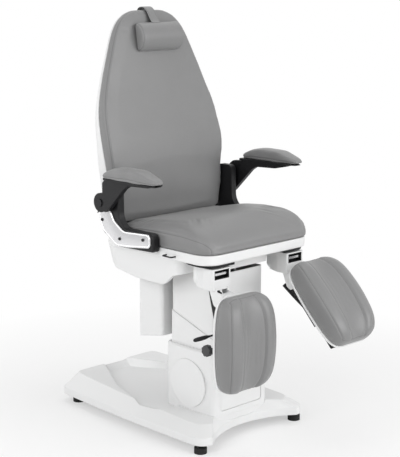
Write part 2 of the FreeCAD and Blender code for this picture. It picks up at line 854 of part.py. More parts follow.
# Rear shroud: the box that hangs behind the column, open below, with a sloped lower edge.
shroud = new_body("rear_shroud")
extrude(shroud, "XY_Plane", box(-v.shroud_side, v.shroud_side, v.shroud_front, v.shroud_rear,
                                v.shroud_corner), "shroud_bottom_rear", "shroud_top")
carve(shroud, "YZ_Plane", rounded([(v.shroud_front - past, v.shroud_bottom_front, 0),
                                   (v.shroud_front - past, v.shroud_bottom_rear - past, 0),
                                   (v.shroud_rear, v.shroud_bottom_rear - past, 0),
                                   (v.shroud_rear, v.shroud_bottom_rear, 0)]),
      "-shroud_side - overrun", "shroud_side + overrun")
wall = v.shroud_wall
carve(shroud, "XY_Plane", box(-v.shroud_side + wall, v.shroud_side - wall,
                              v.shroud_front + wall, v.shroud_rear - wall,
                              v.shroud_corner - wall),
      "shroud_bottom_rear + shroud_bottom_front - shroud_bottom_rear + overrun",
      "shroud_top - shroud_wall")
place(shroud)

# Seat frame: two rails and two cross beams under the tray, with lugs on the tilt pin.
frame_low = "deck_height - mount_plate_thick - rail_section"
frame_high = "deck_height - mount_plate_thick"
frame_level = v.deck_height - v.mount_plate_thick
seat_frame = new_body("seat_frame")
for side in (-1, 1):
    x = side * v.rail_side
    extrude(seat_frame, "XY_Plane", box(x - v.rail_wide * HALF, x + v.rail_wide * HALF,
                                        v.rail_front, v.rail_rear),
            frame_low, frame_high)
for y in (v.cross_front_depth, v.tilt_depth, v.cross_rear_depth):
    extrude(seat_frame, "XY_Plane", box(-v.rail_side, v.rail_side, y - v.cross_wide * HALF,
                                        y + v.cross_wide * HALF), frame_low, frame_high)
for side in (-1, 1):
    inner = "head_lug_inner + head_lug_thick + seam"
    low, high = on_side(side, inner, inner + " + frame_lug_thick")
    extrude(seat_frame, "YZ_Plane", lug(frame_level, v.tilt_height, 0), low, high)
carve(seat_frame, "YZ_Plane", circle(v.tilt_depth, v.tilt_height,
                                     v.tilt_pin_radius + v.shaft_clearance),
      "-rail_side - rail_wide", "rail_side + rail_wide")
place(seat_frame)


# Plan of the under-seat housing: a narrow nose between the leg rests, wide behind them.
def housing_plan(inset, rear):
    nose = v.housing_nose_side - inset * HALF
    side = v.housing_side - inset
    front = v.housing_front + inset * HALF
    waist, shoulder = v.housing_waist, v.housing_shoulder
    half_rows = [(nose, front, v.housing_nose_round), (nose, waist + inset * HALF, v.housing_fold),
                 (side, shoulder + inset * HALF, v.housing_shoulder_round),
                 (side, rear, v.housing_rear_round)]
    return rounded(half_rows + [(-a, b, radius) for a, b, radius in reversed(half_rows)])


# Under-seat housing: boat-shaped sides that draw in below, open underneath for the column.
housing = new_body("seat_housing")
loft(housing, "XY_Plane",
     [("housing_lowest", housing_plan(v.housing_draft, v.housing_rear - v.housing_draft * HALF)),
      ("deck_height", housing_plan(0, v.housing_rear))], True)
for outline in (HOUSING_ARCH_OUTLINE, HOUSING_STERN_OUTLINE):
    carve(housing, "YZ_Plane", rounded(outline),
          "-housing_side - overrun", "housing_side + overrun")
carve(housing, "XY_Plane", housing_plan(v.housing_draft + v.opening_wall, v.opening_rear),
      "housing_lowest - overrun", "deck_height + overrun")
for side in (-1, 1):
    reach = v.mount_plate_half + v.seam
    inner, outer = sorted((side * v.mount_plate_root, side * v.leg_side))
    carve(housing, "XY_Plane", box(inner, outer, v.swivel_depth - reach, v.swivel_depth + reach),
          "deck_height - mount_plate_thick - seam", "deck_height + overrun")
    carve(housing, "XY_Plane", circle(side * v.leg_side, v.swivel_depth,
                                      v.mount_plate_reach + v.seam),
          "deck_height - mount_plate_thick - seam", "deck_height + overrun")
place(housing)


# Plan of the seat tray, drawn in by an inset.
def tray_plan(inset):
    front, rear = v.tray_front_corner - inset, v.tray_rear_corner
    side = v.tray_side - inset
    return rounded([(-side, v.tray_front + inset, front), (side, v.tray_front + inset, front),
                    (side, v.tray_rear - inset, rear), (-side, v.tray_rear - inset, rear)])


# Seat tray: a moulded ring whose rim shows round the cushion, with two rear horns and a lug on
# each side for the bracket, and the plywood board in it.
tray = new_body("seat_tray")
extrude(tray, "XY_Plane", tray_plan(0), "deck_height", "tray_top")
soften(tray, "tray_round", lambda middle: near(middle.z, v.deck_height))
for side in (-1, 1):
    left, right = sorted((side * v.tray_horn_inner, side * v.tray_side))
    extrude(tray, "XY_Plane", box(left, right, v.tray_horn_root, v.tray_horn_rear,
                                  v.tray_round), "deck_height", "tray_top")
    left, right = sorted((side * (v.tray_side - v.overrun), side * (v.bracket_inner - v.seam)))
    extrude(tray, "XY_Plane", box(left, right, v.tray_lug_front, v.tray_lug_rear),
            "tray_lug_low", "tray_top")
carve(tray, "XY_Plane", tray_plan(v.tray_wall), "tray_top - board_thick", "tray_top + overrun")
carve(tray, "XY_Plane", tray_plan(v.board_ledge), "deck_height", "tray_top - board_thick")
place(tray)
board = new_body("seat_board")
extrude(board, "XY_Plane", tray_plan(v.tray_wall + v.seam), "tray_top - board_thick", "tray_top")
place(board)

# Seat cushion: lofted along its depth, with a front edge that rolls over and a crowned top.
cushion = new_body("seat_cushion")
sections = []
for y, half, low, high in CUSHION_ROWS:
    rounds = (v.cushion_rim_round, min(v.cushion_face_round, (high - low) * FRONT_ROUND_SHARE),
              v.cushion_crown, v.cushion_bulge)
    sections.append((-float(y), padded_ring(half, low, high, rounds)))
loft(cushion, "XZ_Plane", sections)
place(cushion)

# Side brackets: deep L-shaped arms beside the seat that carry the backrest hinge and the
# armrest, each with an aluminium trim bar held by three screws.
for name, side in (("right", -1), ("left", 1)):
    bracket = new_body("side_bracket_" + name)
    low, high = on_side(side, "bracket_inner", "bracket_outer")
    extrude(bracket, "YZ_Plane", rounded(BRACKET_OUTLINE), low, high)
    soften(bracket, "bracket_round", lambda middle: near(abs(middle.x), v.bracket_outer))
    carve(bracket, "YZ_Plane", circle(v.hinge_depth, v.hinge_height,
                                      v.hinge_pin_radius + v.shaft_clearance),
          "-bracket_outer - overrun", "bracket_outer + overrun")
    place(bracket)
    trim = new_body("bracket_trim_" + name)
    low, high = on_side(side, "bracket_outer", "bracket_outer + trim_thick")
    extrude(trim, "YZ_Plane", rounded(TRIM_OUTLINE), low, high)
    soften(trim, "trim_chamfer",
           lambda middle: near(abs(middle.x), v.bracket_outer + v.trim_thick), "Chamfer")
    place(trim)

screws = []
for side in (-1, 1):
    for y, z in SCREW_PLACES:
        screw = doc.addObject("Part::Cylinder", "TrimScrew")
        bind(screw, "Radius", "screw_radius")
        bind(screw, "Height", "screw_proud")
        outer = v.bracket_outer + v.trim_thick
        x = outer if side > 0 else -outer - v.screw_proud
        screw.Placement = Placement(Vector(x, y, z), Rotation(Vector(0, 1, 0), QUARTER_TURN))
        screws.append(screw)
trim_screws = doc.addObject("Part::Compound", "trim_screws")
trim_screws.Links = screws
trim_screws.Label = "trim_screws"
place(trim_screws)
parts_made.append(trim_screws)

# Small wire loop on the right side of the tray rim.
loop = new_body("side_loop")
half, reach, bend = v.loop_half, v.loop_reach, v.loop_bend
cut = bend * (1 - TURN_SHARE)
loop_path = sketch_on(loop, "XY_Plane", [
    Part.LineSegment(Vector(0, -half, 0), Vector(-reach + bend, -half, 0)),
    Part.Arc(Vector(-reach + bend, -half, 0), Vector(-reach + cut, -half + cut, 0),
             Vector(-reach, -half + bend, 0)),
    Part.LineSegment(Vector(-reach, -half + bend, 0), Vector(-reach, half - bend, 0)),
    Part.Arc(Vector(-reach, half - bend, 0), Vector(-reach + cut, half - cut, 0),
             Vector(-reach + bend, half, 0)),
    Part.LineSegment(Vector(-reach + bend, half, 0), Vector(0, half, 0))], 0)
wire = loop.newObject("PartDesign::AdditivePipe", "loop_wire_pipe")
wire.Profile = sketch_on(loop, "YZ_Plane", circle(-half, 0, v.loop_wire), 0)
wire.Spine = loop_path
finish_feature(loop, wire, False, 0)
place(loop, -v.tray_side, v.loop_depth, v.loop_height)

# Armrests: a flat cranked arm on a pivot disc with a shelf under the pad, the pin it turns on
# and the pad, lofted along its length.
for name, side in (("right", -1), ("left", 1)):
    arm = new_body("armrest_arm_" + name)
    low, high = on_side(side, "arm_inner", "arm_outer")
    extrude(arm, "YZ_Plane", rounded(ARM_OUTLINE), low, high)
    extrude(arm, "YZ_Plane", circle(0, 0, v.arm_disc_radius), low, high)
    soften(arm, "arm_edge_round", lambda middle: near(abs(middle.x), v.arm_outer))
    left, right = sorted((side * v.arm_inner, side * v.shelf_outer))
    extrude(arm, "XY_Plane", box(left, right, v.shelf_front, v.shelf_rear),
            "shelf_low", "shelf_top")
    carve(arm, "YZ_Plane", circle(0, 0, v.arm_pin_radius + v.shaft_clearance),
          "-arm_outer - overrun", "arm_outer + overrun")
    place(arm, 0, v.arm_depth, v.arm_height)
    pin = new_body("armrest_pin_" + name)
    for radius, start, end in ((v.arm_pin_radius, "bracket_outer", "arm_outer + seam"),
                               (v.arm_cap_radius, "bracket_outer", "arm_inner - seam"),
                               (v.arm_cap_radius, "arm_outer + seam",
                                "arm_outer + seam + arm_cap_proud")):
        low, high = on_side(side, start, end)
        extrude(pin, "YZ_Plane", circle(0, 0, radius), low, high)
    place(pin, 0, v.arm_depth, v.arm_height)
    pad = new_body("armrest_pad_" + name)
    loft(pad, "XZ_Plane", [(-float(y), padded_ring(half, low, high, ARM_PAD_ROUNDS))
                           for y, half, low, high in ARM_PAD_ROWS])
    place(pad, side * v.arm_pad_centre, v.arm_depth, v.arm_height)

# Backrest, in its own frame that leans back: cushion and rear shell lofted up their length,
# and the cross bar with the two hinge ears and pins.
back_cushion = new_body("back_cushion")
back_shell = new_body("back_shell")
cushion_sections, shell_sections = [], []
widest = max(row[1] for row in BACK_ROWS)
deepest = max(row[3] for row in BACK_ROWS)
for height, half, front, deep, bow in BACK_ROWS:
    rounds = (v.back_rim_round, min(v.back_side_round, -front * FRONT_ROUND_SHARE),
              v.back_crown * half / widest, v.back_side_bulge)
    cushion_sections.append((float(height), padded_ring(half, v.back_plane + bow, front + bow,
                                                        rounds)))
    rounds = (v.shell_edge_round, min(v.shell_round, deep * SHELL_ROUND_SHARE),
              v.shell_crown * deep / deepest, v.shell_edge_round * HALF)
    plane = v.back_plane + v.seam + bow
    shell_sections.append((float(height), padded_ring(half - v.shell_inset, plane, plane + deep,
                                                      rounds)))
loft(back_cushion, "XY_Plane", cushion_sections)
loft(back_shell, "XY_Plane", shell_sections)

lean = math.radians(v.back_tilt)
ear_depth = (v.hinge_depth - v.back_origin_depth) * math.cos(lean)
ear_height = (v.hinge_depth - v.back_origin_depth) * math.sin(lean)
back_frame = new_body("back_frame")
bar_high = "%s - seam" % BACK_ROWS[0][0]
extrude(back_frame, "XY_Plane", box(-v.hinge_ear_outer, v.hinge_ear_outer,
                                    v.back_bar_front, v.back_bar_rear),
        "back_bar_low", bar_high)
for side in (-1, 1):
    low, high = on_side(side, "hinge_ear_inner", "hinge_ear_outer")
    r = v.hinge_ear_radius
    extrude(back_frame, "YZ_Plane", circle(ear_depth, ear_height, r), low, high)
    extrude(back_frame, "YZ_Plane", box(ear_depth, v.back_bar_rear, v.back_bar_low,
                                        BACK_ROWS[0][0] - v.seam), low, high)
    low, high = on_side(side, "hinge_ear_outer", "bracket_outer - seam")
    extrude(back_frame, "YZ_Plane", circle(ear_depth, ear_height, v.hinge_pin_radius), low, high)

# Head bolster with a flat rear, and the strap that holds it over the top of the backrest.
bolster = new_body("head_bolster")
tall = v.bolster_tall_half
extrude(bolster, "YZ_Plane", [Part.Arc(Vector(0, tall, 0), Vector(-v.bolster_deep, 0, 0),
                                       Vector(0, -tall, 0)),
                              Part.LineSegment(Vector(0, -tall, 0), Vector(0, tall, 0))],
        "-bolster_half", "bolster_half")
soften(bolster, "bolster_end_round", lambda middle: True)
strap = new_body("head_strap")
extrude(strap, "YZ_Plane", rounded(STRAP_OUTLINE), "-strap_half", "strap_half")
for part in (back_cushion, back_shell, back_frame, strap):
    place(part, 0, v.back_origin_depth, v.hinge_height, (1, 0, 0), -v.back_tilt)
place(bolster, v.bolster_shift,
      v.back_origin_depth + v.bolster_front * math.cos(lean) + v.bolster_height * math.sin(lean),
      v.hinge_height - v.bolster_front * math.sin(lean) + v.bolster_height * math.cos(lean),
      (1, 0, 0), -v.back_tilt)

# Leg rests, one on each side. The right one hangs, the left one is raised about its hinge.
for name, side in (("right", -1), ("left", 1)):
    x = side * v.leg_side

    # Mounting plate under the tray's corner with the post that the leg unit turns on.
    plate = new_body("swivel_plate_" + name)
    inner, outer = sorted((-side * (v.leg_side - v.mount_plate_root), 0))
    extrude(plate, "XY_Plane", circle(0, 0, v.mount_plate_reach), frame_high, "deck_height")
    extrude(plate, "XY_Plane", box(inner, outer, -v.mount_plate_half, v.mount_plate_half),
            frame_high, "deck_height")
    extrude(plate, "XY_Plane", circle(0, 0, v.swivel_post_radius), "swivel_post_bottom", frame_high)
    place(plate, x, v.swivel_depth, 0)

    # Swivel body: round boss, block with a window in its front, and two hinge cheeks.
    swivel = new_body("leg_swivel_" + name)
    extrude(swivel, "XY_Plane", circle(0, 0, v.swivel_boss_radius), "swivel_low", "swivel_top")
    soften(swivel, "swivel_boss_round", lambda middle: near(middle.z, v.swivel_low))
    extrude(swivel, "XY_Plane", rounded(SWIVEL_BLOCK_OUTLINE), "swivel_block_low", "swivel_top")
    for way in (-1, 1):
        low, high = on_side(way, "cheek_inner", "cheek_outer")
        extrude(swivel, "YZ_Plane", rounded(shifted(CHEEK_OUTLINE, -v.swivel_depth)), low, high)
    carve(swivel, "XZ_Plane", box(-v.window_half, v.window_half, v.window_low, v.window_high),
          "swivel_front - swivel_depth - overrun", "swivel_front - swivel_depth + window_depth")
    carve(swivel, "XY_Plane", circle(0, 0, v.swivel_post_radius + v.shaft_clearance),
          "swivel_post_bottom - overrun", "swivel_top + overrun")
    extrude(swivel, "YZ_Plane", circle(v.leg_hinge_depth - v.swivel_depth, v.leg_hinge_height,
                                       v.leg_pin_radius), "-cheek_inner - overrun",
            "cheek_inner + overrun")
    place(swivel, x, v.swivel_depth, 0)

    # Black liner in the window and the bright release bar in it.
    liner = new_body("latch_liner_" + name)
    extrude(liner, "XZ_Plane", box(-v.window_half, v.window_half, v.window_low, v.window_high),
            "swivel_front", "swivel_front + window_depth")
    rim = v.window_rim
    carve(liner, "XZ_Plane", box(-v.window_half + rim, v.window_half - rim,
                                 v.window_low + rim, v.window_high - rim),
          "swivel_front - overrun", "swivel_front + window_depth - window_rim")
    place(liner, x, 0, 0)
    latch = new_body("latch_bar_" + name)
    half = v.window_half - rim - v.seam
    extrude(latch, "XZ_Plane", box(-half, half, v.latch_low, v.latch_low + v.latch_tall),
            "swivel_front + latch_proud", "swivel_front + latch_back")
    place(latch, x, 0, 0)

    raised = -RAISED[name]
    on_leg = []

    # Leg head on the hinge pin, and the slanted rail below it.
    leg_head = new_body("leg_head_" + name)
    extrude(leg_head, "YZ_Plane", rounded(LEG_HEAD_OUTLINE), "-head_half", "head_half")
    carve(leg_head, "YZ_Plane", circle(0, 0, v.leg_pin_radius + v.shaft_clearance),
          "-head_half - overrun", "head_half + overrun")
    front = LEG_HEAD_OUTLINE[0][0]
    carve(leg_head, "XZ_Plane", circle(0, v.head_hole_rise, v.head_hole_radius),
          "%s - overrun" % front, "%s + head_hole_deep" % front)
    on_leg.append(leg_head)
    rail = new_body("leg_rail_" + name)
    extrude(rail, "YZ_Plane", rounded(LEG_RAIL_OUTLINE), "-rail_half", "rail_half")
    on_leg.append(rail)

    # Carriage: a sleeve on the rail with the pad's tilt pin and the lever's pivot.
    carriage = new_body("rail_carriage_" + name)
    play = v.seam
    rail_front_edge, rail_rear_edge = LEG_RAIL_OUTLINE[2][0], LEG_RAIL_OUTLINE[3][0]
    grow = v.sleeve_wall + play
    extrude(carriage, "XY_Plane", box(-v.rail_half - grow, v.rail_half + grow,
                                      rail_front_edge - grow, rail_rear_edge + grow),
            "sleeve_low", "sleeve_high")
    extrude(carriage, "YZ_Plane", circle(v.carriage_pin_depth, v.carriage_pin_height,
                                         v.carriage_boss_radius),
            "-carriage_boss_half", "carriage_boss_half")
    extrude(carriage, "YZ_Plane", circle(v.carriage_pin_depth, v.carriage_pin_height,
                                         v.carriage_pin_radius),
            "-carriage_pin_half", "carriage_pin_half")
    extrude(carriage, "YZ_Plane", box(v.carriage_pin_depth, rail_front_edge - play,
                                      v.carriage_pin_height - v.carriage_boss_radius,
                                      v.carriage_pin_height + v.carriage_boss_radius),
            "-rail_half - sleeve_wall", "rail_half + sleeve_wall")
    left, right = sorted((0, side * v.lever_bracket_half))
    extrude(carriage, "XZ_Plane", box(left, right, v.lever_height - v.lever_bracket_tall,
                                      v.lever_height + v.lever_bracket_tall),
            "lever_back + seam", "lever_back + seam + sleeve_wall")
    extrude(carriage, "XZ_Plane", circle(side * v.lever_pivot_side, v.lever_height,
                                         v.lever_pivot_radius),
            "lever_front", "lever_back + overrun")
    carve(carriage, "XY_Plane", box(-v.rail_half - play, v.rail_half + play,
                                    rail_front_edge - play, rail_rear_edge + play),
          "sleeve_low - overrun", "sleeve_high + overrun")
    on_leg.append(carriage)

    # Clamp lever with a long grip, and the knob on the pad's tilt axis.
    lever = new_body("clamp_lever_" + name)
    extrude(lever, "XZ_Plane", circle(side * v.lever_pivot_side, v.lever_height,
                                      v.lever_root_radius), "lever_front", "lever_back")
    low, high = on_side(side, "lever_pivot_side", "lever_grip_start")
    extrude(lever, "YZ_Plane", circle(v.lever_depth, v.lever_height, v.lever_neck_radius),
            low, high)
    carve(lever, "XZ_Plane", circle(side * v.lever_pivot_side, v.lever_height,
                                    v.lever_pivot_radius + v.shaft_clearance),
          "lever_front - overrun", "lever_back + overrun")
    low, high = on_side(side, "lever_grip_start", "lever_grip_end")
    extrude(lever, "YZ_Plane", circle(v.lever_depth, v.lever_height, v.lever_grip_radius),
            low, high)
    soften(lever, "lever_neck_radius",
           lambda middle: near(abs(middle.x), v.lever_grip_end))
    on_leg.append(lever)
    knob = new_body("clamp_knob_" + name)
    low, high = on_side(side, "carriage_pin_half + seam", "knob_inner")
    extrude(knob, "YZ_Plane", circle(v.carriage_pin_depth, v.carriage_pin_height,
                                     v.knob_shaft_radius), low, high)
    low, high = on_side(side, "knob_inner", "knob_outer")
    extrude(knob, "YZ_Plane", circle(v.carriage_pin_depth, v.carriage_pin_height,
                                     v.knob_radius), low, high)
    for index in range(int(v.knob_notches)):
        angle = 2 * math.pi * index / v.knob_notches
        reach = v.knob_radius + v.knob_notch_radius * HALF
        carve(knob, "YZ_Plane", circle(v.carriage_pin_depth + reach * math.cos(angle),
                                       v.carriage_pin_height + reach * math.sin(angle),
                                       v.knob_notch_radius), low, high)
    on_leg.append(knob)

    # Pad shell with two ears on the tilt pin, and the troughed cushion on it.
    shell = new_body("leg_shell_" + name)
    rounds = (v.pad_edge_round, v.pad_edge_round, v.pad_edge_round * HALF, v.pad_edge_round * HALF)
    loft(shell, "XY_Plane", [(float(height), padded_ring(half, rear, v.pad_shell_front, rounds))
                             for height, half, face, rear in reversed(LEG_PAD_ROWS)])
    for way in (-1, 1):
        low, high = on_side(way, "carriage_boss_half + seam", "carriage_ear_half")
        extrude(shell, "YZ_Plane", circle(v.carriage_pin_depth, v.carriage_pin_height,
                                          v.ear_radius), low, high)
        extrude(shell, "YZ_Plane", box(v.pad_rear - v.overrun, v.carriage_pin_depth,
                                       v.carriage_pin_height - v.ear_radius,
                                       v.carriage_pin_height + v.ear_radius), low, high)
        carve(shell, "YZ_Plane", circle(v.carriage_pin_depth, v.carriage_pin_height,
                                        v.carriage_pin_radius + v.shaft_clearance), low, high)
    on_leg.append(shell)
    cushion = new_body("leg_cushion_" + name)
    sections = []
    for height, half, face, rear in reversed(LEG_PAD_ROWS):
        share = half / LEG_PAD_ROWS[6][1]
        rounds = (v.pad_rim_round, v.pad_side_round * share, v.pad_lobe * share, v.pad_side_bulge)
        sections.append((float(height), padded_ring(half, v.pad_cushion_rear, face, rounds,
                                                    v.pad_trough * share * share)))
    loft(cushion, "XY_Plane", sections)
    on_leg.append(cushion)
    for part in on_leg:
        place(part, x, v.leg_hinge_depth, v.leg_hinge_height, (1, 0, 0), raised)

# Check and write each piece.
doc.recompute()
os.makedirs("parts", exist_ok=True)
for item in doc.Objects:
    if "Invalid" in item.State or "Error" in item.State:
        raise RuntimeError("%s does not build" % item.Label)
faulty = [part.Label for part in parts_made if part.Shape.isNull() or not part.Shape.isValid()]
if faulty:
    raise RuntimeError("not valid: " + ", ".join(faulty))
for part in parts_made:
    part.Shape.exportStep("parts/%s.step" % part.Label)
print("pieces written:", len(parts_made))
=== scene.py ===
# %% [markdown]
# # A podiatry chair
# The chair stands on a moulded base. A telescopic pedestal lifts a seat with a reclining back,
# two folding armrests and two leg rests. The hard parts come from the construction model, which
# fixes every size and joint. What is made here is what a construction model does not have:
# stretched upholstery with its seams, soft edges, the finishes, and a few thin plates and grips.

# %% Load the construction model
import bpy
import json
import math
from mathutils import Matrix, Vector
from mathutils.bvhtree import BVHTree
from mathutils.kdtree import KDTree


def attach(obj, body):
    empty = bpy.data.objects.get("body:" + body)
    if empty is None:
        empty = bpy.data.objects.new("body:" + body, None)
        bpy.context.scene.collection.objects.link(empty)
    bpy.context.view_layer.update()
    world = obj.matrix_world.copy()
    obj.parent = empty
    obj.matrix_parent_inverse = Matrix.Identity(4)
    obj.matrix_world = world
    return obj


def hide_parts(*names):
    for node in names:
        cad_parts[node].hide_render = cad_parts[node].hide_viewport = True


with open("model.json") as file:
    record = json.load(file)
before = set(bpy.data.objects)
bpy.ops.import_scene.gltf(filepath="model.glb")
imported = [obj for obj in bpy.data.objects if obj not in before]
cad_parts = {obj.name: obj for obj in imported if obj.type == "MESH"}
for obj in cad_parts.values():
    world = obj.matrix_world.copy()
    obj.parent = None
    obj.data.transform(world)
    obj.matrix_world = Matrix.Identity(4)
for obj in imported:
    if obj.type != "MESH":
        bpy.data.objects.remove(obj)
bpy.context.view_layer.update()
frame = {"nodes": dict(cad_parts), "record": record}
nodes = frame["nodes"]

# %% [markdown]
# The camera is worked out from the photograph's perspective: the feet, the base and the leg
# pads give its place, its turn and its focal length. It looks down at the chair from the
# sitter's right, with the long lens that a product picture is taken with.

# %% Camera
CAMERA_TURN, CAMERA_HEIGHT_ANGLE = -44.305, 11.463
CAMERA_PLACE, CAMERA_LENS = (-3.434, -3.476, 1.777), 101.0
camera_data = bpy.data.cameras.new("camera")
camera_data.lens = CAMERA_LENS
camera = bpy.data.objects.new("camera", camera_data)
camera.location = CAMERA_PLACE
camera.rotation_euler = (math.radians(90 - CAMERA_HEIGHT_ANGLE), 0, math.radians(CAMERA_TURN))
bpy.context.scene.collection.objects.link(camera)
bpy.context.scene.camera = camera
print("camera distance:", round(camera.location.length, 2), "m")

# %% [markdown]
# A finish is a small network of nodes. Written as plain sums it stays readable, so one class
# holds a socket and lets it be added, multiplied and subtracted, and another makes the nodes.
# Patterns read Object coordinates, in metres, so that a grain of one millimetre stays one
# millimetre on every piece. A noise swings about one half, so most sums that add a share of it
# take about half of that share off again, to keep the mean.

# %% Tools for finishes
class Reading:
    def __init__(self, finish, socket):
        self.finish, self.socket = finish, socket

    def joined(self, operation, *inputs):
        return self.finish.node("ShaderNodeMath", {"operation": operation}, dict(enumerate(inputs)))

    def __add__(self, other):
        return self.joined("ADD", self, other)

    def __sub__(self, other):
        return self.joined("SUBTRACT", self, other)

    def __rsub__(self, other):
        return self.joined("SUBTRACT", other, self)

    def __mul__(self, other):
        return self.joined("MULTIPLY", self, other)

    def clamped(self):
        held = self.joined("MULTIPLY", self, 1.0)
        held.socket.node.use_clamp = True
        return held


class Finish:
    def __init__(self, name, colour, roughness, metallic=0.0):
        self.material = bpy.data.materials.new(name)
        self.material.use_nodes = True
        self.tree = self.material.node_tree
        self.shader = self.tree.nodes["Principled BSDF"]
        self.set("Base Color", (*colour, 1))
        self.set("Roughness", roughness)
        self.set("Metallic", metallic)
        self.material.diffuse_color = (*colour, 1)

    def set(self, socket, value):
        if isinstance(value, Reading):
            self.tree.links.new(value.socket, self.shader.inputs[socket])
        else:
            self.shader.inputs[socket].default_value = value

    def node(self, kind, settings=None, inputs=None, output=0):
        made = self.tree.nodes.new(kind)
        for key, value in (settings or {}).items():
            setattr(made, key, value)
        for key, value in (inputs or {}).items():
            if isinstance(value, Reading):
                self.tree.links.new(value.socket, made.inputs[key])
            else:
                made.inputs[key].default_value = value
        return Reading(self, made.outputs[output])

    def place(self):
        return self.node("ShaderNodeTexCoord", output="Object")

    def noise(self, scale, detail=3.0, stretch=None):
        where = self.place()
        if stretch:
            where = self.node("ShaderNodeMapping", None, {"Vector": where, "Scale": stretch})
        return self.node("ShaderNodeTexNoise", None,
                         {"Vector": where, "Scale": scale, "Detail": detail})

    def cells(self, scale):
        return self.node("ShaderNodeTexVoronoi", {"feature": "F1"},
                         {"Vector": self.place(), "Scale": scale}, "Distance")

    def tinted(self, colour, tone):
        return self.node("ShaderNodeVectorMath", {"operation": "SCALE"},
                         {0: colour, "Scale": tone})

    def blend(self, factor, first, second):
        return self.node("ShaderNodeMix", {"data_type": "RGBA"},
                         {0: factor, 6: (*first, 1) if isinstance(first, tuple) else first,
                          7: (*second, 1) if isinstance(second, tuple) else second}, 2)

    def bump(self, height, depth, under=None):
        inputs = {"Height": height, "Distance": depth, "Strength": 1.0}
        if under:
            inputs["Normal"] = under
        return self.node("ShaderNodeBump", None, inputs)

    def soft_edge(self, radius):
        return self.node("ShaderNodeBevel", {"samples": 6}, {"Radius": radius})


print("tools for finishes:", Reading.__name__, Finish.__name__)

# %% [markdown]
# The upholstery is synthetic leather: a mid grey with a fine pebbled grain about a millimetre
# across, a dull sheen, and a slightly uneven tone. Its seams are carried by one value stored
# on each pad: how far a point is from the nearest seam. The finish paints shade into the crease
# by darkening its colour there, and the grain lies everywhere.

# %% Upholstery
LEATHER_GREY = (0.212, 0.212, 0.213)
LEATHER_ROUGHNESS, LEATHER_SPECULAR, LEATHER_SHEEN, SHEEN_ROUGHNESS = 0.36, 0.5, 0.14, 0.45
CREASE_FALL, CREASE_SHARE, CREASE_SHADE = 520.0, 0.55, 0.35
GRAIN_SCALE, WRINKLE_SCALE, GRAIN_DEPTH = 950.0, 260.0, 0.00022


def upholstery(name, colour):
    made = Finish(name, colour, 0.5)
    off = made.node("ShaderNodeAttribute", {"attribute_name": "seam_off"}, output="Fac")
    away = off.joined("ABSOLUTE", off)
    crease = (1.0 - away * CREASE_FALL).clamped()
    broad = made.noise(9.0, 2.0)
    fine = made.noise(140.0, 3.0)
    lit = made.tinted(colour, broad * 0.10 + fine * 0.05 + 0.925)
    # Painted shade: the colour darkens toward each seam and fold, standing for the shade in the
    # crease.
    dark = tuple(CREASE_SHADE * part for part in colour)
    made.set("Base Color", made.blend(crease * CREASE_SHARE, lit, dark))
    made.set("Roughness", broad * 0.12 + crease * 0.15 + LEATHER_ROUGHNESS)
    grain = made.cells(GRAIN_SCALE)
    wrinkle = made.noise(WRINKLE_SCALE, 4.0)
    made.set("Normal", made.bump(wrinkle * 0.5 + grain * 0.5, GRAIN_DEPTH))
    made.set("Specular IOR Level", LEATHER_SPECULAR)
    made.set("Sheen Weight", LEATHER_SHEEN)
    made.set("Sheen Roughness", SHEEN_ROUGHNESS)
    return made.material


grey_leather = upholstery("grey_leather", LEATHER_GREY)
print("upholstery:", len(grey_leather.node_tree.nodes), "nodes")

# %% [markdown]
# The covers are moulded in white plastic with a satin gloss. Their tone drifts a very little,
# and the surface has the faint ripple of a large moulding. Edges that are sharp in the model
# are rounded where the light meets them. The leg units are steel in a white powder coat,
# which is duller and has a finer, rougher skin.

# %% White finishes
WHITE, RIPPLE_DEPTH = (0.80, 0.803, 0.803), 0.00006
COAT_WEIGHT, COAT_ROUGHNESS = 0.25, 0.12


def moulded_white(name, colour, roughness, edge, ripple):
    made = Finish(name, colour, roughness)
    drift = made.noise(5.0, 2.0)
    made.set("Base Color", made.tinted(colour, drift * 0.03 + 0.985))
    skin = made.noise(ripple, 2.0)
    made.set("Roughness", drift * 0.08 + skin * 0.05 + (roughness - 0.065))
    made.set("Normal", made.bump(skin, RIPPLE_DEPTH, made.soft_edge(edge)))
    made.set("Coat Weight", COAT_WEIGHT)
    made.set("Coat Roughness", COAT_ROUGHNESS)
    return made.material


white_shell = moulded_white("white_shell", WHITE, 0.34, 0.003, 300.0)
white_coat = moulded_white("white_coat", WHITE, 0.42, 0.0014, 1400.0)
print("white finishes:", white_shell.name, white_coat.name)

# %% [markdown]
# The brackets, arms and rails are black. Powder coat on metal has a grain of half a millimetre
# that breaks up every highlight, and its corners are rounded just enough to catch a thin
# light. The moulded grips and liners are a flatter black, and the feet are rubber. The
# motors' enamel and the knobs' plastic are a dark grey with the same grain.

# %% Black finishes
BLACK_EDGE, BLACK_SPECULAR = 0.0015, 0.28


def black_skin(name, colour, roughness, grain, depth):
    made = Finish(name, colour, roughness)
    dust = made.noise(30.0, 4.0)
    made.set("Base Color", made.tinted(colour, dust * 0.5 + 0.75))
    made.set("Roughness", dust * 0.18 + (roughness - 0.09))
    made.set("Normal", made.bump(made.noise(grain, 3.0), depth, made.soft_edge(BLACK_EDGE)))
    made.set("Specular IOR Level", BLACK_SPECULAR)
    return made.material


black_coat = black_skin("black_coat", (0.009, 0.009, 0.010), 0.42, 1500.0, 0.00022)
black_plastic = black_skin("black_plastic", (0.010, 0.010, 0.011), 0.50, 2400.0, 0.00012)
knob_grey = black_skin("knob_grey", (0.060, 0.060, 0.062), 0.45, 2400.0, 0.00012)
rubber = black_skin("foot_rubber", (0.016, 0.016, 0.016), 0.72, 700.0, 0.0003)
motor_enamel = black_skin("motor_enamel", (0.05, 0.05, 0.055), 0.5, 900.0, 0.0002)
print("black finishes:", black_coat.name, black_plastic.name, knob_grey.name)

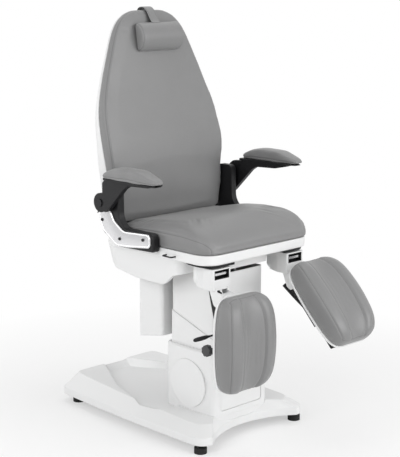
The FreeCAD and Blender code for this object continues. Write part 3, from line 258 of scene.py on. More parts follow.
# %% [markdown]
# The trim bars are anodised aluminium, drawn along their length. The tubes and rods are ground
# steel, and the pins and screws are blackened steel. Fine lines, which are noise stretched far
# along one direction, show in their roughness and their bump. The board under the seat cushion
# is plywood, whose plies are noise squeezed along the height.

# %% Metals and wood
LINE_DEPTH, WOOD_DEPTH = 0.00004, 0.0002
DARK_WOOD, PALE_WOOD = (0.42, 0.28, 0.15), (0.66, 0.50, 0.33)


def drawn_metal(name, colour, roughness, stretch, edge=0.001):
    made = Finish(name, colour, roughness, 1.0)
    lines = made.noise(160.0, 3.0, stretch)
    patch = made.noise(12.0, 2.0)
    made.set("Base Color", made.tinted(colour, lines * 0.12 + 0.93))
    made.set("Roughness", lines * 0.14 + patch * 0.08 + (roughness - 0.11))
    made.set("Normal", made.bump(lines, LINE_DEPTH, made.soft_edge(edge)))
    return made.material


satin_aluminium = drawn_metal("satin_aluminium", (0.78, 0.78, 0.79), 0.30, (1.0, 0.08, 0.6))
bright_steel = drawn_metal("bright_steel", (0.66, 0.66, 0.67), 0.22, (8.0, 8.0, 0.3))
blackened_steel = drawn_metal("blackened_steel", (0.035, 0.035, 0.037), 0.38, (1.0, 1.0, 1.0))


def plywood_finish():
    made = Finish("plywood", (0.55, 0.40, 0.25), 0.65)
    plies = made.noise(60.0, 3.0, (0.05, 0.05, 14.0))
    grain = made.noise(90.0, 4.0, (1.0, 0.06, 1.0))
    made.set("Base Color", made.blend(plies * 0.6 + grain * 0.4, DARK_WOOD, PALE_WOOD))
    made.set("Normal", made.bump(grain, WOOD_DEPTH))
    return made.material


plywood = plywood_finish()
print("metals and wood:", satin_aluminium.name, bright_steel.name, plywood.name)

# %% [markdown]
# Each solid of the model takes the finish of its material in the record. Only the material
# slots change: the solids themselves stay where the joints need them. The armrest pins are
# blackened steel, and the clamp knobs are a greyer plastic than the levers.

# %% Dress the solids
FINISH_OF = {"white_shell": white_shell, "white_metal": white_coat, "black_metal": black_coat,
             "steel": bright_steel, "lift_motor": motor_enamel, "aluminium": satin_aluminium,
             "black_plastic": black_plastic, "grey_upholstery": grey_leather,
             "plywood": plywood, "foot_rubber": rubber}
SIDES = (("right", -1), ("left", 1))
slot_of = {row["node"]: row["material_slot"] for row in frame["record"]["subparts"]}


def give(piece, material):
    piece.data.materials.clear()
    piece.data.materials.append(material)


for name, node in nodes.items():
    give(node, FINISH_OF[slot_of[name]])
for side_name, side in SIDES:
    give(nodes["armrest_pin_" + side_name], blackened_steel)
    give(nodes["clamp_knob_" + side_name], knob_grey)
print("dressed:", len(nodes))


# %% [markdown]
# Every piece made here starts with nothing selected, because an edit acts on all that is
# selected. A pad starts as a copy of its solid, whose loose triangles are merged, brought into
# the pad's own upright frame so that its faces line up with the grid it is remeshed on.

# %% Small helpers
SHARP_ANGLE, SMOOTH_ANGLE = math.radians(30), math.radians(35)
MERGE_GAP = 0.00002


def only(piece):
    bpy.ops.object.select_all(action="DESELECT")
    piece.select_set(True)
    bpy.context.view_layer.objects.active = piece


def edit_all(piece):
    only(piece)
    bpy.ops.object.mode_set(mode="EDIT")
    bpy.ops.mesh.select_all(action="SELECT")


def faces_outward():
    bpy.ops.mesh.select_all(action="SELECT")
    bpy.ops.mesh.normals_make_consistent(inside=False)
    bpy.ops.object.mode_set(mode="OBJECT")


def copy_of(node, name, frame_matrix=Matrix.Identity(4)):
    made = bpy.data.objects.new(name, nodes[node].data.copy())
    bpy.context.scene.collection.objects.link(made)
    made.data.transform(frame_matrix.inverted())
    edit_all(made)
    bpy.ops.mesh.remove_doubles(threshold=MERGE_GAP)
    bpy.ops.object.mode_set(mode="OBJECT")
    return made


def twin(piece, name, move):
    made = piece.copy()
    made.data = piece.data.copy()
    made.name = name
    made.data.transform(move)
    bpy.context.scene.collection.objects.link(made)
    return made


def apply_all(piece):
    only(piece)
    for modifier in list(piece.modifiers):
        bpy.ops.object.modifier_apply(modifier=modifier.name)


def home(piece):
    only(piece)
    bpy.ops.object.transform_apply(location=True, rotation=True, scale=True)


def size_line(piece):
    return "%s: %d faces" % (piece.name, len(piece.data.polygons))


print("helpers:", [made.__name__ for made in (copy_of, twin, apply_all, home)])

# %% [markdown]
# A hard piece starts as one of Blender's simple shapes or as a copy of its solid. Faces are
# picked by a test and then inset or pulled out, and the sharp edges get a small round, because
# no real edge is perfectly sharp and the round is what catches the light.

# %% Helpers for hard pieces
def start_piece(name):
    made = bpy.context.object
    made.name = name
    made.data.name = name
    return made


def pick_nothing(piece):
    for group in (piece.data.vertices, piece.data.edges, piece.data.polygons):
        group.foreach_set("select", [False] * len(group))


def pick_faces(piece, test):
    only(piece)
    pick_nothing(piece)
    for face in piece.data.polygons:
        face.select = test(face)
    bpy.ops.object.mode_set(mode="EDIT")
    bpy.ops.mesh.select_mode(type="FACE")


def mark_picked(piece, slot_number):
    bpy.ops.object.mode_set(mode="OBJECT")
    for face in piece.data.polygons:
        if face.select:
            face.material_index = slot_number


def softened(piece, width):
    edge = piece.modifiers.new("Edge", "BEVEL")
    edge.width, edge.segments, edge.limit_method = width, 2, "ANGLE"
    edge.angle_limit = SHARP_ANGLE
    apply_all(piece)
    bpy.ops.object.shade_smooth_by_angle(angle=SMOOTH_ANGLE)


def joined_piece(name, pieces):
    bpy.ops.object.select_all(action="DESELECT")
    for piece in pieces:
        piece.select_set(True)
    bpy.context.view_layer.objects.active = pieces[0]
    bpy.ops.object.join()
    return start_piece(name)


print("helpers for hard pieces:", [made.__name__ for made in (pick_faces, softened, joined_piece)])

# %% [markdown]
# Seams are lines of given points. A curve through them is rounded (Catmull and Rom's way),
# laid on the pad's surface, and walked in steps of a millimetre and a half. Every point of the
# pad then knows its distance from the nearest seam. Close to it the skin is drawn in, as
# thread draws leather into foam, and the distance is stored for the finish, which paints shade
# into the crease with it. A fold without thread is drawn in more widely, and its stored distance
# never gets small enough to make its painted shade as dark as a seam's.

# %% Sewing
SEAM_STEP, SEAM_DEPTH, SEAM_WIDTH, NO_SEAM = 0.0015, 0.0022, 0.0045, 1.0


def through(points, closed=False):
    count = len(points)
    corners = [Vector(point) for point in points]
    walked = []
    for index in range(count if closed else count - 1):
        a, b, c, d = [corners[(index + k) % count] if closed
                      else corners[min(max(index + k, 0), count - 1)] for k in (-1, 0, 1, 2)]
        parts = max(2, int((c - b).length / SEAM_STEP))
        for number in range(parts):
            t = number / parts
            walked.append(0.5 * (2 * b + (c - a) * t + (2 * a - 5 * b + 4 * c - d) * t ** 2
                                 + (3 * b - a - 3 * c + d) * t ** 3))
    if not closed:
        walked.append(corners[-1])
    return walked


def laid_on(piece, lines):
    tree = BVHTree.FromPolygons([v.co for v in piece.data.vertices],
                                [p.vertices for p in piece.data.polygons])
    return [[tree.find_nearest(point)[0] for point in line] for line in lines]


def tree_of(spots):
    tree = KDTree(len(spots))
    for index, spot in enumerate(spots):
        tree.insert(spot, index)
    tree.balance()
    return tree


def sew(piece, lines, depth, width=SEAM_WIDTH, least=0.0):
    laid = laid_on(piece, lines)
    ahead = []
    for line in laid:
        for index in range(len(line)):
            first, last = line[max(index - 1, 0)], line[min(index + 1, len(line) - 1)]
            ahead.append((last - first).normalized())
    tree = tree_of([spot for line in laid for spot in line])
    if "seam_off" not in piece.data.attributes:
        fresh = piece.data.attributes.new("seam_off", "FLOAT", "POINT")
        for entry in fresh.data:
            entry.value = NO_SEAM
    store = piece.data.attributes["seam_off"]
    reach = width * 4
    moves = []
    for vertex in piece.data.vertices:
        spot, index, gap = tree.find(vertex.co)
        if gap > reach:
            continue
        away = vertex.co - spot
        along = away.dot(ahead[index])
        gap = math.sqrt(max(gap * gap - along * along, 0.0))
        side = 1 if ahead[index].cross(vertex.normal).dot(away) > 0 else -1
        kept = store.data[vertex.index].value
        if max(gap, least) < abs(kept):
            store.data[vertex.index].value = side * max(gap, least)
        moves.append((vertex.index, vertex.normal.copy(), gap))
    for index, normal, gap in moves:
        piece.data.vertices[index].co -= normal * depth * math.exp(-(gap / width) ** 2 * 2)


print("a seam is drawn in by", SEAM_DEPTH * 1000, "mm")

# %% [markdown]
# A pad is firm foam in a stretched cover. A plain copy of its solid looks carved, so it is
# remeshed evenly, and Blender's Cloth blows it up a little from inside with gravity off. The
# seams and the side that lies on the shell are held, so each panel swells between its seams
# by a few millimetres, with the small hollows that real covers have where two panels meet.

# %% Filling
HELD_NEAR, HELD_FADE = 0.003, 0.010
CLOTH_FRAMES, CLOTH_QUALITY, FOAM_PRESSURE = 20, 4, 4.0
COVER_MASS, COVER_STIFFNESS, COVER_BENDING = 0.3, 20, 0.8


def held_group(piece, lines, held):
    tree = tree_of([spot for line in laid_on(piece, lines) for spot in line])
    group = piece.vertex_groups.new(name="held")
    for vertex in piece.data.vertices:
        near = 1.0 - max(tree.find(vertex.co)[2] - HELD_NEAR, 0.0) / HELD_FADE
        weight = 1.0 if held(vertex) else max(min(near, 1.0), 0.0)
        if weight > 0:
            group.add([vertex.index], weight, "REPLACE")


def remeshed(piece, voxel):
    only(piece)
    piece.data.remesh_voxel_size = voxel
    piece.data.use_remesh_fix_poles = True
    bpy.ops.object.voxel_remesh()
    edit_all(piece)
    bpy.ops.mesh.vertices_smooth(factor=0.5, repeat=4)
    bpy.ops.object.mode_set(mode="OBJECT")


def filled(piece, lines, held, cap):
    held_group(piece, lines, held)
    rest = [v.co.copy() for v in piece.data.vertices]
    cloth = piece.modifiers.new("Fill", "CLOTH")
    settings = cloth.settings
    settings.quality = CLOTH_QUALITY
    settings.mass = COVER_MASS
    settings.tension_stiffness = settings.compression_stiffness = COVER_STIFFNESS
    settings.bending_stiffness = COVER_BENDING
    settings.use_pressure = True
    settings.uniform_pressure_force = FOAM_PRESSURE
    settings.effector_weights.gravity = 0
    settings.vertex_group_mass = "held"
    cloth.point_cache.frame_start, cloth.point_cache.frame_end = 1, CLOTH_FRAMES
    for number in range(1, CLOTH_FRAMES + 1):
        bpy.context.scene.frame_set(number)
    blown = piece.evaluated_get(bpy.context.evaluated_depsgraph_get())
    for vertex, start, end in zip(piece.data.vertices, rest, blown.data.vertices):
        move = end.co - start
        if move.length > cap:
            move *= cap / move.length
        vertex.co = start + move
    piece.modifiers.remove(cloth)
    bpy.context.scene.frame_set(1)
    piece.vertex_groups.clear()
    smooth = piece.modifiers.new("Skin", "SUBSURF")
    smooth.levels = smooth.render_levels = 1
    apply_all(piece)


print("a cover is blown up over", CLOTH_FRAMES, "frames")

# %% [markdown]
# A whole pad takes five steps: it is copied and remeshed, its points are moved where use has
# dished the pad or its mould is fuller than the solid, it is filled, sewn, and put back in its
# place. It then rides on its body and takes the place of the solid cushion.

# %% A whole pad
FOLD_DEEPER, FOLD_WIDTH, FOLD_LEAST = 1.3, 0.0085, 0.0016


def upholstered(node, name, at, voxel, lines, held, cap, seam_depth=SEAM_DEPTH, least=0.0,
                shape=None, folds=()):
    piece = copy_of(node, name, at)
    remeshed(piece, voxel)
    if shape:
        for vertex in piece.data.vertices:
            vertex.co = shape(vertex.co)
        lines = [[shape(point) for point in line] for line in lines]
        folds = [[shape(point) for point in line] for line in folds]
    filled(piece, list(lines) + list(folds), held, cap)
    sew(piece, lines, seam_depth, least=least)
    if folds:
        sew(piece, folds, seam_depth * FOLD_DEEPER, FOLD_WIDTH, FOLD_LEAST)
    piece.data.transform(at)
    give(piece, grey_leather)
    only(piece)
    bpy.ops.object.shade_smooth()
    print(size_line(piece))
    return piece


def settled(piece, node, body):
    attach(piece, body)
    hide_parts(node)


print("a fold is", FOLD_DEEPER, "times as deep as a seam")

# %% [markdown]
# The seat cushion has a top panel that runs over the front edge and down, like a waterfall,
# and a side panel on each side. The seam between them follows the top edge from the rear and
# turns down just round the front corner. The middle of the seat is a shallow hollow between
# raised sides, and the rear and the brow over the front edge lie a little lower too.

# %% Seat cushion
BACK_OF_FEET = -0.229
SEAT_SEAM = ((0.2660, 0.434, 0.8060), (0.2850, 0.404, 0.8120), (0.2870, 0.300, 0.8165),
             (0.2875, 0.140, 0.8180), (0.2860, 0.014, 0.8170), (0.2820, -0.016, 0.8150),
             (0.2730, -0.036, 0.8080), (0.2640, -0.047, 0.7960), (0.2580, -0.052, 0.7800),
             (0.2560, -0.053, 0.7630))
SEAT_HELD_BELOW, SEAT_SINKS_ABOVE, SEAT_SINK_FADE = 0.7665, 0.775, 0.035
HOLLOW_DEPTH, HOLLOW_HALF, HOLLOW_MIDDLE, HOLLOW_LONG = 0.015, 0.17, 0.26, 0.15
REAR_DEPTH, REAR_FROM, REAR_FADE = 0.006, 0.22, 0.16
BROW_DEPTH, BROW_FROM, BROW_FADE = 0.007, 0.085, 0.11
BROW_WIDE, BROW_TAPER, SEAT_HALF = 1.35, 0.4, 0.29


def eased(share):
    share = min(max(share, 0.0), 1.0)
    return share * share * (3 - 2 * share)


def sat_in(point):
    x, y, z = point
    upper = eased((z - SEAT_SINKS_ABOVE) / SEAT_SINK_FADE)
    hollow = HOLLOW_DEPTH * math.exp(-(x / HOLLOW_HALF) ** 2
                                     - ((y - HOLLOW_MIDDLE) / HOLLOW_LONG) ** 2)
    rear = REAR_DEPTH * eased((y - REAR_FROM) / REAR_FADE)
    brow = (BROW_DEPTH * eased((BROW_FROM - y) / BROW_FADE)
            * eased(BROW_WIDE - abs(x) / SEAT_HALF * BROW_TAPER))
    return Vector((x, y, z - upper * (hollow + rear + brow)))


seat_at = Matrix.Translation((0, BACK_OF_FEET, 0))
seat_seams = [through([(side * half, depth, height) for half, depth, height in SEAT_SEAM])
              for side in (-1, 1)]
seat_pad = upholstered("seat_cushion", "seat_pad", seat_at, voxel=0.0062, lines=seat_seams,
                       held=lambda v: v.co.z < SEAT_HELD_BELOW,
                       cap=0.0045, seam_depth=0.0016, least=0.0010, shape=sat_in)
settled(seat_pad, "seat_cushion", "seat")

# %% [markdown]
# The backrest is one long padded panel with a boxed edge. The seam between the front panel and
# the edge runs right round it, a finger's width behind the front. The pad leans back by eight
# degrees, so it is made upright and leant afterwards. Its front bows at the loin, and its
# lower sides are made a little wider than the solid's.

# %% Back cushion
BACK_EDGE = ((0.016, 0.2495, -0.0180), (0.045, 0.2565, -0.0230), (0.100, 0.2705, -0.0350),
             (0.190, 0.2865, -0.0490), (0.260, 0.2975, -0.0580), (0.330, 0.2995, -0.0550),
             (0.376, 0.2965, -0.0480), (0.440, 0.2895, -0.0400), (0.520, 0.2665, -0.0300),
             (0.610, 0.2345, -0.0260), (0.690, 0.2025, -0.0230), (0.750, 0.1745, -0.0200),
             (0.790, 0.1415, -0.0180), (0.812, 0.1065, -0.0150), (0.823, 0.0640, -0.0110))
LOIN_BOW = ((0.045, 0.002), (0.100, -0.004), (0.190, -0.014), (0.260, -0.020), (0.330, -0.016),
            (0.376, -0.010), (0.440, -0.005), (0.520, 0.0))
LOIN_MORE = ((-0.010, 0.020), (0.020, 0.030), (0.060, 0.028), (0.110, 0.017), (0.190, 0.002),
             (0.260, 0.0))
LOIN_HALF, BACK_SKIN = 0.262, 0.002
BACK_HINGE, BACK_LEAN = (0, 0.241, 0.800), -8


def read_at(table, height):
    if height <= table[0][0]:
        return table[0][1]
    for (low, start), (high, end) in zip(table, table[1:]):
        if height <= high:
            return start + (end - start) * (height - low) / (high - low)
    return table[-1][1]


def fuller_loin(point):
    x, y, z = point
    wide = read_at(LOIN_MORE, z) if z >= LOIN_MORE[0][0] else 0.0
    return Vector((x * (1 + wide / LOIN_HALF), y, z))


back_at = Matrix.Translation(BACK_HINGE) @ Matrix.Rotation(math.radians(BACK_LEAN), 4, "X")
rising = [(-half, front, height) for height, half, front in BACK_EDGE]
falling = [(half, front, height) for height, half, front in reversed(BACK_EDGE)]
back_seam = through(rising + falling, True)
back_pad = upholstered("back_cushion", "back_pad", back_at, voxel=0.0072, lines=[back_seam],
                       held=lambda v: v.co.y > read_at(LOIN_BOW, v.co.z) + BACK_SKIN,
                       cap=0.0030, seam_depth=0.0026, shape=fuller_loin)
settled(back_pad, "back_cushion", "backrest")

# %% [markdown]
# The leg pads have a boxed edge with a seam round it, two firm lobes and the gutter between
# them that holds the calf. The cover is folded, not sewn, where a lobe meets the gutter. Both
# pads are alike, so one is made and copied. The left leg is stored raised by forty-three
# degrees, which is only another place for the same pad.

# %% Leg pads
PAD_EDGE = ((0.020, 0.076, -0.104), (0.010, 0.090, -0.1150), (-0.008, 0.1025, -0.1270),
            (-0.042, 0.111, -0.1375), (-0.092, 0.1155, -0.1440), (-0.152, 0.117, -0.1465),
            (-0.213, 0.1155, -0.1440), (-0.263, 0.111, -0.1375), (-0.297, 0.1025, -0.1270),
            (-0.315, 0.090, -0.1150), (-0.325, 0.076, -0.104))
PAD_GUTTER = ((0.014, 0.040, -0.114), (-0.008, 0.0455, -0.128), (-0.042, 0.0515, -0.139),
              (-0.092, 0.0550, -0.146), (-0.152, 0.0565, -0.148), (-0.213, 0.0550, -0.146),
              (-0.263, 0.0515, -0.139), (-0.297, 0.0455, -0.128), (-0.318, 0.040, -0.112))
LEG_SIDE, LEG_HINGE_DEPTH, LEG_HINGE_HEIGHT = 0.200, -0.298, 0.600
LEGS = (("right", -1, 0), ("left", 1, 43))
PAD_HELD_BEHIND = -0.070


def leg_frame(side, raised):
    return (Matrix.Translation((side * LEG_SIDE, LEG_HINGE_DEPTH, LEG_HINGE_HEIGHT))
            @ Matrix.Rotation(math.radians(-raised), 4, "X"))


pad_edge_line = through([(-half, front, height) for height, half, front in PAD_EDGE]
                        + [(half, front, height) for height, half, front in reversed(PAD_EDGE)],
                        True)
gutter_lines = [through([(side * half, front, height) for height, half, front in PAD_GUTTER])
                for side in (-1, 1)]
right_leg, left_leg = [leg_frame(side, raised) for name, side, raised in LEGS]
right_pad = upholstered("leg_cushion_right", "leg_pad_right", right_leg, voxel=0.0046,
                        lines=[pad_edge_line], held=lambda v: v.co.y > PAD_HELD_BEHIND,
                        cap=0.005, folds=gutter_lines)
left_pad = twin(right_pad, "leg_pad_left", left_leg @ right_leg.inverted())
settled(right_pad, "leg_cushion_right", "leg_pad_right")
settled(left_pad, "leg_cushion_left", "leg_pad_left")

# %% [markdown]
# The armrest pads are small and firm, with one seam low on their sides where the cover is
# pulled under, and a nose that droops. The cover is too small to sag, so it is blown up less
# than the others. The left pad is a copy of the right one.

# %% Armrest pads
ARM_PAD_EDGE = ((-0.362, 0.0230, 0.116), (-0.342, 0.0290, 0.117), (-0.290, 0.0320, 0.119),
                (-0.220, 0.0322, 0.121), (-0.150, 0.0320, 0.119), (-0.098, 0.0300, 0.117),
                (-0.070, 0.0260, 0.116))
ARM_PIVOT = (0.377, 0.225, 0.904)
NOSE_FROM, NOSE_LONG, NOSE_TAPER, NOSE_SHIFT, NOSE_DROP = -0.262, 0.110, 0.22, 0.006, 0.009
HEEL_FROM, HEEL_LONG, HEEL_SHIFT, HEEL_DROP = -0.125, 0.060, 0.008, 0.005
CROWN_FROM, CROWN_TALL, CROWN_DROP = 0.112, 0.026, 0.0015
ARM_PAD_HELD_BELOW = 0.1115


def arm_frame(side):
    across, depth, height = ARM_PIVOT
    return Matrix.Translation((side * across, depth, height))


def drooped(point):
    x, y, z = point
    nose, heel = eased((NOSE_FROM - y) / NOSE_LONG), eased((y - HEEL_FROM) / HEEL_LONG)
    crown = max(z - CROWN_FROM, 0.0) / CROWN_TALL
    return Vector((x * (1 - NOSE_TAPER * nose * nose), y + NOSE_SHIFT * nose - HEEL_SHIFT * heel,
                   z - crown * (NOSE_DROP * nose + HEEL_DROP * heel) - CROWN_DROP * crown))


arm_line = through([(-half, depth, high) for depth, half, high in ARM_PAD_EDGE]
                   + [(half, depth, high) for depth, half, high in reversed(ARM_PAD_EDGE)], True)
arm_pad = upholstered("armrest_pad_right", "arm_pad_right", arm_frame(-1), voxel=0.0032,
                      lines=[arm_line], held=lambda v: v.co.z < ARM_PAD_HELD_BELOW,
                      cap=0.0025, seam_depth=0.0014, shape=drooped)
other_arm_pad = twin(arm_pad, "arm_pad_left", arm_frame(1) @ arm_frame(-1).inverted())
settled(arm_pad, "armrest_pad_right", "armrest_right")
settled(other_arm_pad, "armrest_pad_left", "armrest_left")

# %% [markdown]
# Each armrest pad lies on a thin black tray. It is a copy of the pad's solid with the same
# droop, made narrower and squeezed flat under the pad.

# %% Armrest trays
ARM_PAD_MIDDLE, ARM_PAD_LOW, TRAY_LOW = -0.216, 0.110, 0.1025
TRAY_WIDE_SHARE, TRAY_LONG_SHARE, TRAY_TALL_SHARE = 0.86, 0.955, 0.30
for name, side in SIDES:
    tray = copy_of("armrest_pad_right", "arm_pad_tray_" + name, arm_frame(-1))
    for vertex in tray.data.vertices:
        x, y, z = drooped(vertex.co)
        vertex.co = (x * TRAY_WIDE_SHARE, (y - ARM_PAD_MIDDLE) * TRAY_LONG_SHARE + ARM_PAD_MIDDLE,
                     TRAY_LOW + (z - ARM_PAD_LOW) * TRAY_TALL_SHARE)
    softened(tray, 0.0008)
    tray.data.transform(arm_frame(side))
    give(tray, black_plastic)
    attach(tray, "armrest_" + name)
    print(size_line(tray))

# %% [markdown]
# The head bolster is a short roll with flat ends, each closed by a round panel. Its rear lies
# on the back pad and is held; the seam of each end panel runs round the rest.

# %% Head bolster
BOLSTER_TALL, BOLSTER_DEEP, BOLSTER_END, BOLSTER_HELD_BEHIND = 0.0580, 0.0500, 0.1085, -0.004
BOLSTER_PLACE = (0.013, -0.0385, 0.716)
bolster_at = back_at @ Matrix.Translation(BOLSTER_PLACE)
end_lines = []
for side in (-1, 1):
    arc = [(side * BOLSTER_END, -BOLSTER_DEEP * math.cos(math.radians(turn)),
            BOLSTER_TALL * math.sin(math.radians(turn))) for turn in range(-84, 85, 12)]
    end_lines.append(through(arc))
bolster = upholstered("head_bolster", "head_roll", bolster_at, voxel=0.0042, lines=end_lines,
                      held=lambda v: v.co.y > BOLSTER_HELD_BEHIND, cap=0.0035)
settled(bolster, "head_bolster", "backrest")

# %% [markdown]
# The strap is a band of the same leather over the top of the back. It starts as one small
# plane whose leading edge is pulled along the way the strap lies, then it is given its
# thickness and rounded edges, and a line of thread near each edge.

# %% Head strap
STRAP_WAY = ((-0.0615, 0.7686), (-0.0545, 0.7740), (-0.0460, 0.7915), (-0.0350, 0.8160),
             (-0.0250, 0.8285), (-0.0130, 0.8358), (-0.0010, 0.8368), (0.0095, 0.8360),
             (0.0180, 0.8305), (0.0225, 0.8205), (0.0243, 0.8000), (0.0255, 0.7700),
             (0.0256, 0.7445))
STRAP_HALF, STRAP_THICK, STRAP_EDGE_SHARE = 0.0215, 0.0028, 0.35
THREAD_INSET, SAME_HEIGHT = 0.004, 1e-6


def pulled_band(name, way, half, thick):
    bpy.ops.object.select_all(action="DESELECT")
    bpy.ops.mesh.primitive_plane_add(size=1)
    band = start_piece(name)
    (y_start, z_start), (y_next, z_next) = way[:2]
    for vertex in band.data.vertices:
        y, z = (y_start, z_start) if vertex.co.y < 0 else (y_next, z_next)
        vertex.co = (math.copysign(half, vertex.co.x), y, z)
    pick_nothing(band)
    for edge in band.data.edges:
        ends = [band.data.vertices[index] for index in edge.vertices]
        edge.select = all(abs(end.co.z - z_next) < SAME_HEIGHT for end in ends)
        if edge.select:
            for end in ends:
                end.select = True
    bpy.ops.object.mode_set(mode="EDIT")
    bpy.ops.mesh.select_mode(type="EDGE")
    for (y_from, z_from), (y_to, z_to) in zip(way[1:], way[2:]):
        bpy.ops.mesh.extrude_region_move(
            TRANSFORM_OT_translate={"value": (0, y_to - y_from, z_to - z_from)})
    faces_outward()
    solid = band.modifiers.new("Thickness", "SOLIDIFY")
    solid.thickness, solid.offset = thick, 0
    edge = band.modifiers.new("Edge", "BEVEL")
    edge.width, edge.segments = thick * STRAP_EDGE_SHARE, 2
    skin = band.modifiers.new("Skin", "SUBSURF")
    skin.levels = skin.render_levels = 3
    apply_all(band)
    return band


strap = pulled_band("neck_strap", STRAP_WAY, STRAP_HALF, STRAP_THICK)
strap_lines = [through([(side * (STRAP_HALF - THREAD_INSET), y, z) for y, z in STRAP_WAY])
               for side in (-1, 1)]
sew(strap, strap_lines, depth=0.0005, width=0.0012)
strap.data.transform(back_at)
give(strap, grey_leather)
only(strap)
bpy.ops.object.shade_smooth()
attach(strap, "backrest")
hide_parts("head_strap")

# %% [markdown]
# The trim bar on each bracket is an aluminium plate: a polished rim round a matt face
# that lies a little over a millimetre lower. The plate's outline comes from its solid. Its
# outer face is inset twice, once for the rim and once, pushed in, for the step.

# %% Trim bars
RIM_WIDE, RIM_STEP, RIM_DROP = 0.0052, 0.0011, 0.0012
FLAT_ANGLE, FACE_DEPTH = math.radians(0.4), 0.0002
polished_rim = drawn_metal("polished_rim", (0.84, 0.84, 0.85), 0.20, (1.0, 1.0, 1.0), 0.0006)
matt_aluminium = drawn_metal("matt_aluminium", (0.60, 0.60, 0.61), 0.44, (1.0, 0.08, 0.6))


def outermost(piece, side):
    reach = max(side * vertex.co.x for vertex in piece.data.vertices)
    return lambda face: side * face.normal.x > 0.999 and side * face.center.x > reach - FACE_DEPTH


def trim_bar(name, side):
    bar = copy_of("bracket_trim_" + name, "trim_bar_" + name)
    edit_all(bar)
    bpy.ops.mesh.dissolve_limited(angle_limit=FLAT_ANGLE)
    bpy.ops.object.mode_set(mode="OBJECT")
    bar.data.materials.clear()
    for material in (polished_rim, matt_aluminium):
        bar.data.materials.append(material)
    pick_faces(bar, outermost(bar, side))
    bpy.ops.mesh.inset(thickness=RIM_WIDE, depth=0)
    bpy.ops.mesh.inset(thickness=RIM_STEP, depth=-RIM_DROP)
    mark_picked(bar, 1)
    softened(bar, 0.0005)
    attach(bar, "seat")
    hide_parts("bracket_trim_" + name)
    print(size_line(bar))


for name, side in SIDES:
    trim_bar(name, side)

# %% [markdown]
# Three socket screws hold each bar. A head is a short blackened cylinder with its rim rounded,
# and its socket is the inset middle of the outer face, pushed in and given a darker, rougher black
# that paints the shade inside the hole.

# %% Screw heads
SCREW_SPOTS = ((0.0105, 0.787), (0.1425, 0.772), (0.2430, 0.833))
HEAD_RADIUS, HEAD_TALL, SOCKET_RIM, SOCKET_DEEP = 0.0060, 0.0028, 0.0012, 0.0020
HEAD_FOOT = 0.3282
# Painted shade: the socket's darker black stands for the shade that falls inside the hole.
painted_socket_shade = black_skin("painted_socket_shade", (0.02, 0.02, 0.02), 0.6, 2000.0, 0.0001)


def screw_head(side, depth, height):
    bpy.ops.object.select_all(action="DESELECT")
    bpy.ops.mesh.primitive_cylinder_add(vertices=36, radius=HEAD_RADIUS, depth=HEAD_TALL,
                                        location=(side * (HEAD_FOOT + HEAD_TALL / 2), depth, height),
                                        rotation=(0, math.radians(90), 0))
    head = start_piece("screw_head")
    home(head)
    head.data.materials.append(blackened_steel)
    head.data.materials.append(painted_socket_shade)
    pick_faces(head, outermost(head, side))
    bpy.ops.mesh.inset(thickness=SOCKET_RIM, depth=0)
    mark_picked(head, 1)
    pick_faces(head, lambda face: face.material_index == 1)
    bpy.ops.mesh.extrude_region_move(
        TRANSFORM_OT_translate={"value": (-side * SOCKET_DEEP, 0, 0)})
    bpy.ops.object.mode_set(mode="OBJECT")
    return head


heads = [screw_head(side, depth, height) for side in (-1, 1) for depth, height in SCREW_SPOTS]
screw_heads = joined_piece("trim_screw_heads", heads)
softened(screw_heads, 0.0006)
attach(screw_heads, "seat")
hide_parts("trim_screws")
print(size_line(screw_heads))

# %% [markdown]
# Each clamp lever is one moulding: a round root on its pivot, a thin neck, and a grip that
# swells and closes like a drop. The neck and grip are a circle that is pulled along and made
# wider or narrower at each step. Pressed a little flat, the grip gets its oval section.

# %% Clamp levers
GRIP_RINGS = ((0.0300, 0.0036), (0.0700, 0.0036), (0.1020, 0.0038), (0.1110, 0.0048),
              (0.1180, 0.0064), (0.1270, 0.0076), (0.1420, 0.0082), (0.1600, 0.0082),
              (0.1730, 0.0076), (0.1800, 0.0062), (0.1837, 0.0042), (0.1848, 0.0018))
LEVER_DEEP, LEVER_HIGH, LEVER_PIVOT = -0.021, -0.120, 0.031
GRIP_CORNERS, GRIP_FLAT = 40, 0.82
ROOT_RADIUS, ROOT_THICK, ROOT_INSET, ROOT_DISH = 0.009, 0.008, 0.0026, 0.0008


def turned(name, rings):
    bpy.ops.object.select_all(action="DESELECT")
    bpy.ops.mesh.primitive_circle_add(vertices=GRIP_CORNERS, radius=rings[0][1],
                                      fill_type="NGON", location=(0, 0, 0))
    piece = start_piece(name)
    edit_all(piece)
    for (low, narrow), (high, wide) in zip(rings, rings[1:]):
        bpy.ops.mesh.extrude_region_move(TRANSFORM_OT_translate={"value": (0, 0, high - low)})
        bpy.ops.transform.resize(value=(wide / narrow, wide / narrow, 1))
    faces_outward()
    piece.data.transform(Matrix.Translation((0, 0, rings[0][0])))
    return piece


def clamp_lever(name, side, raised):
    grip = turned("grip", GRIP_RINGS)
    grip.data.transform(Matrix.Rotation(math.radians(side * 90), 4, "Y")
                        @ Matrix.Diagonal((1.0, GRIP_FLAT, 1.0, 1.0)))
    grip.data.transform(Matrix.Translation((0, LEVER_DEEP, LEVER_HIGH)))
    bpy.ops.object.select_all(action="DESELECT")
    bpy.ops.mesh.primitive_cylinder_add(vertices=48, radius=ROOT_RADIUS, depth=ROOT_THICK,
                                        location=(side * LEVER_PIVOT, LEVER_DEEP, LEVER_HIGH),
                                        rotation=(math.radians(90), 0, 0))
    root = start_piece("root")
    home(root)
    pick_faces(root, lambda face: abs(face.normal.y) > 0.99)
    bpy.ops.mesh.inset(thickness=ROOT_INSET, depth=-ROOT_DISH)
    bpy.ops.object.mode_set(mode="OBJECT")
    lever = joined_piece("lever_" + name, [grip, root])
    softened(lever, 0.0006)
    lever.data.transform(leg_frame(side, raised))
    give(lever, black_plastic)
    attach(lever, "lever_" + name)
    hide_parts("clamp_lever_" + name)
    print(size_line(lever))


for name, side, raised in LEGS:
    clamp_lever(name, side, raised)

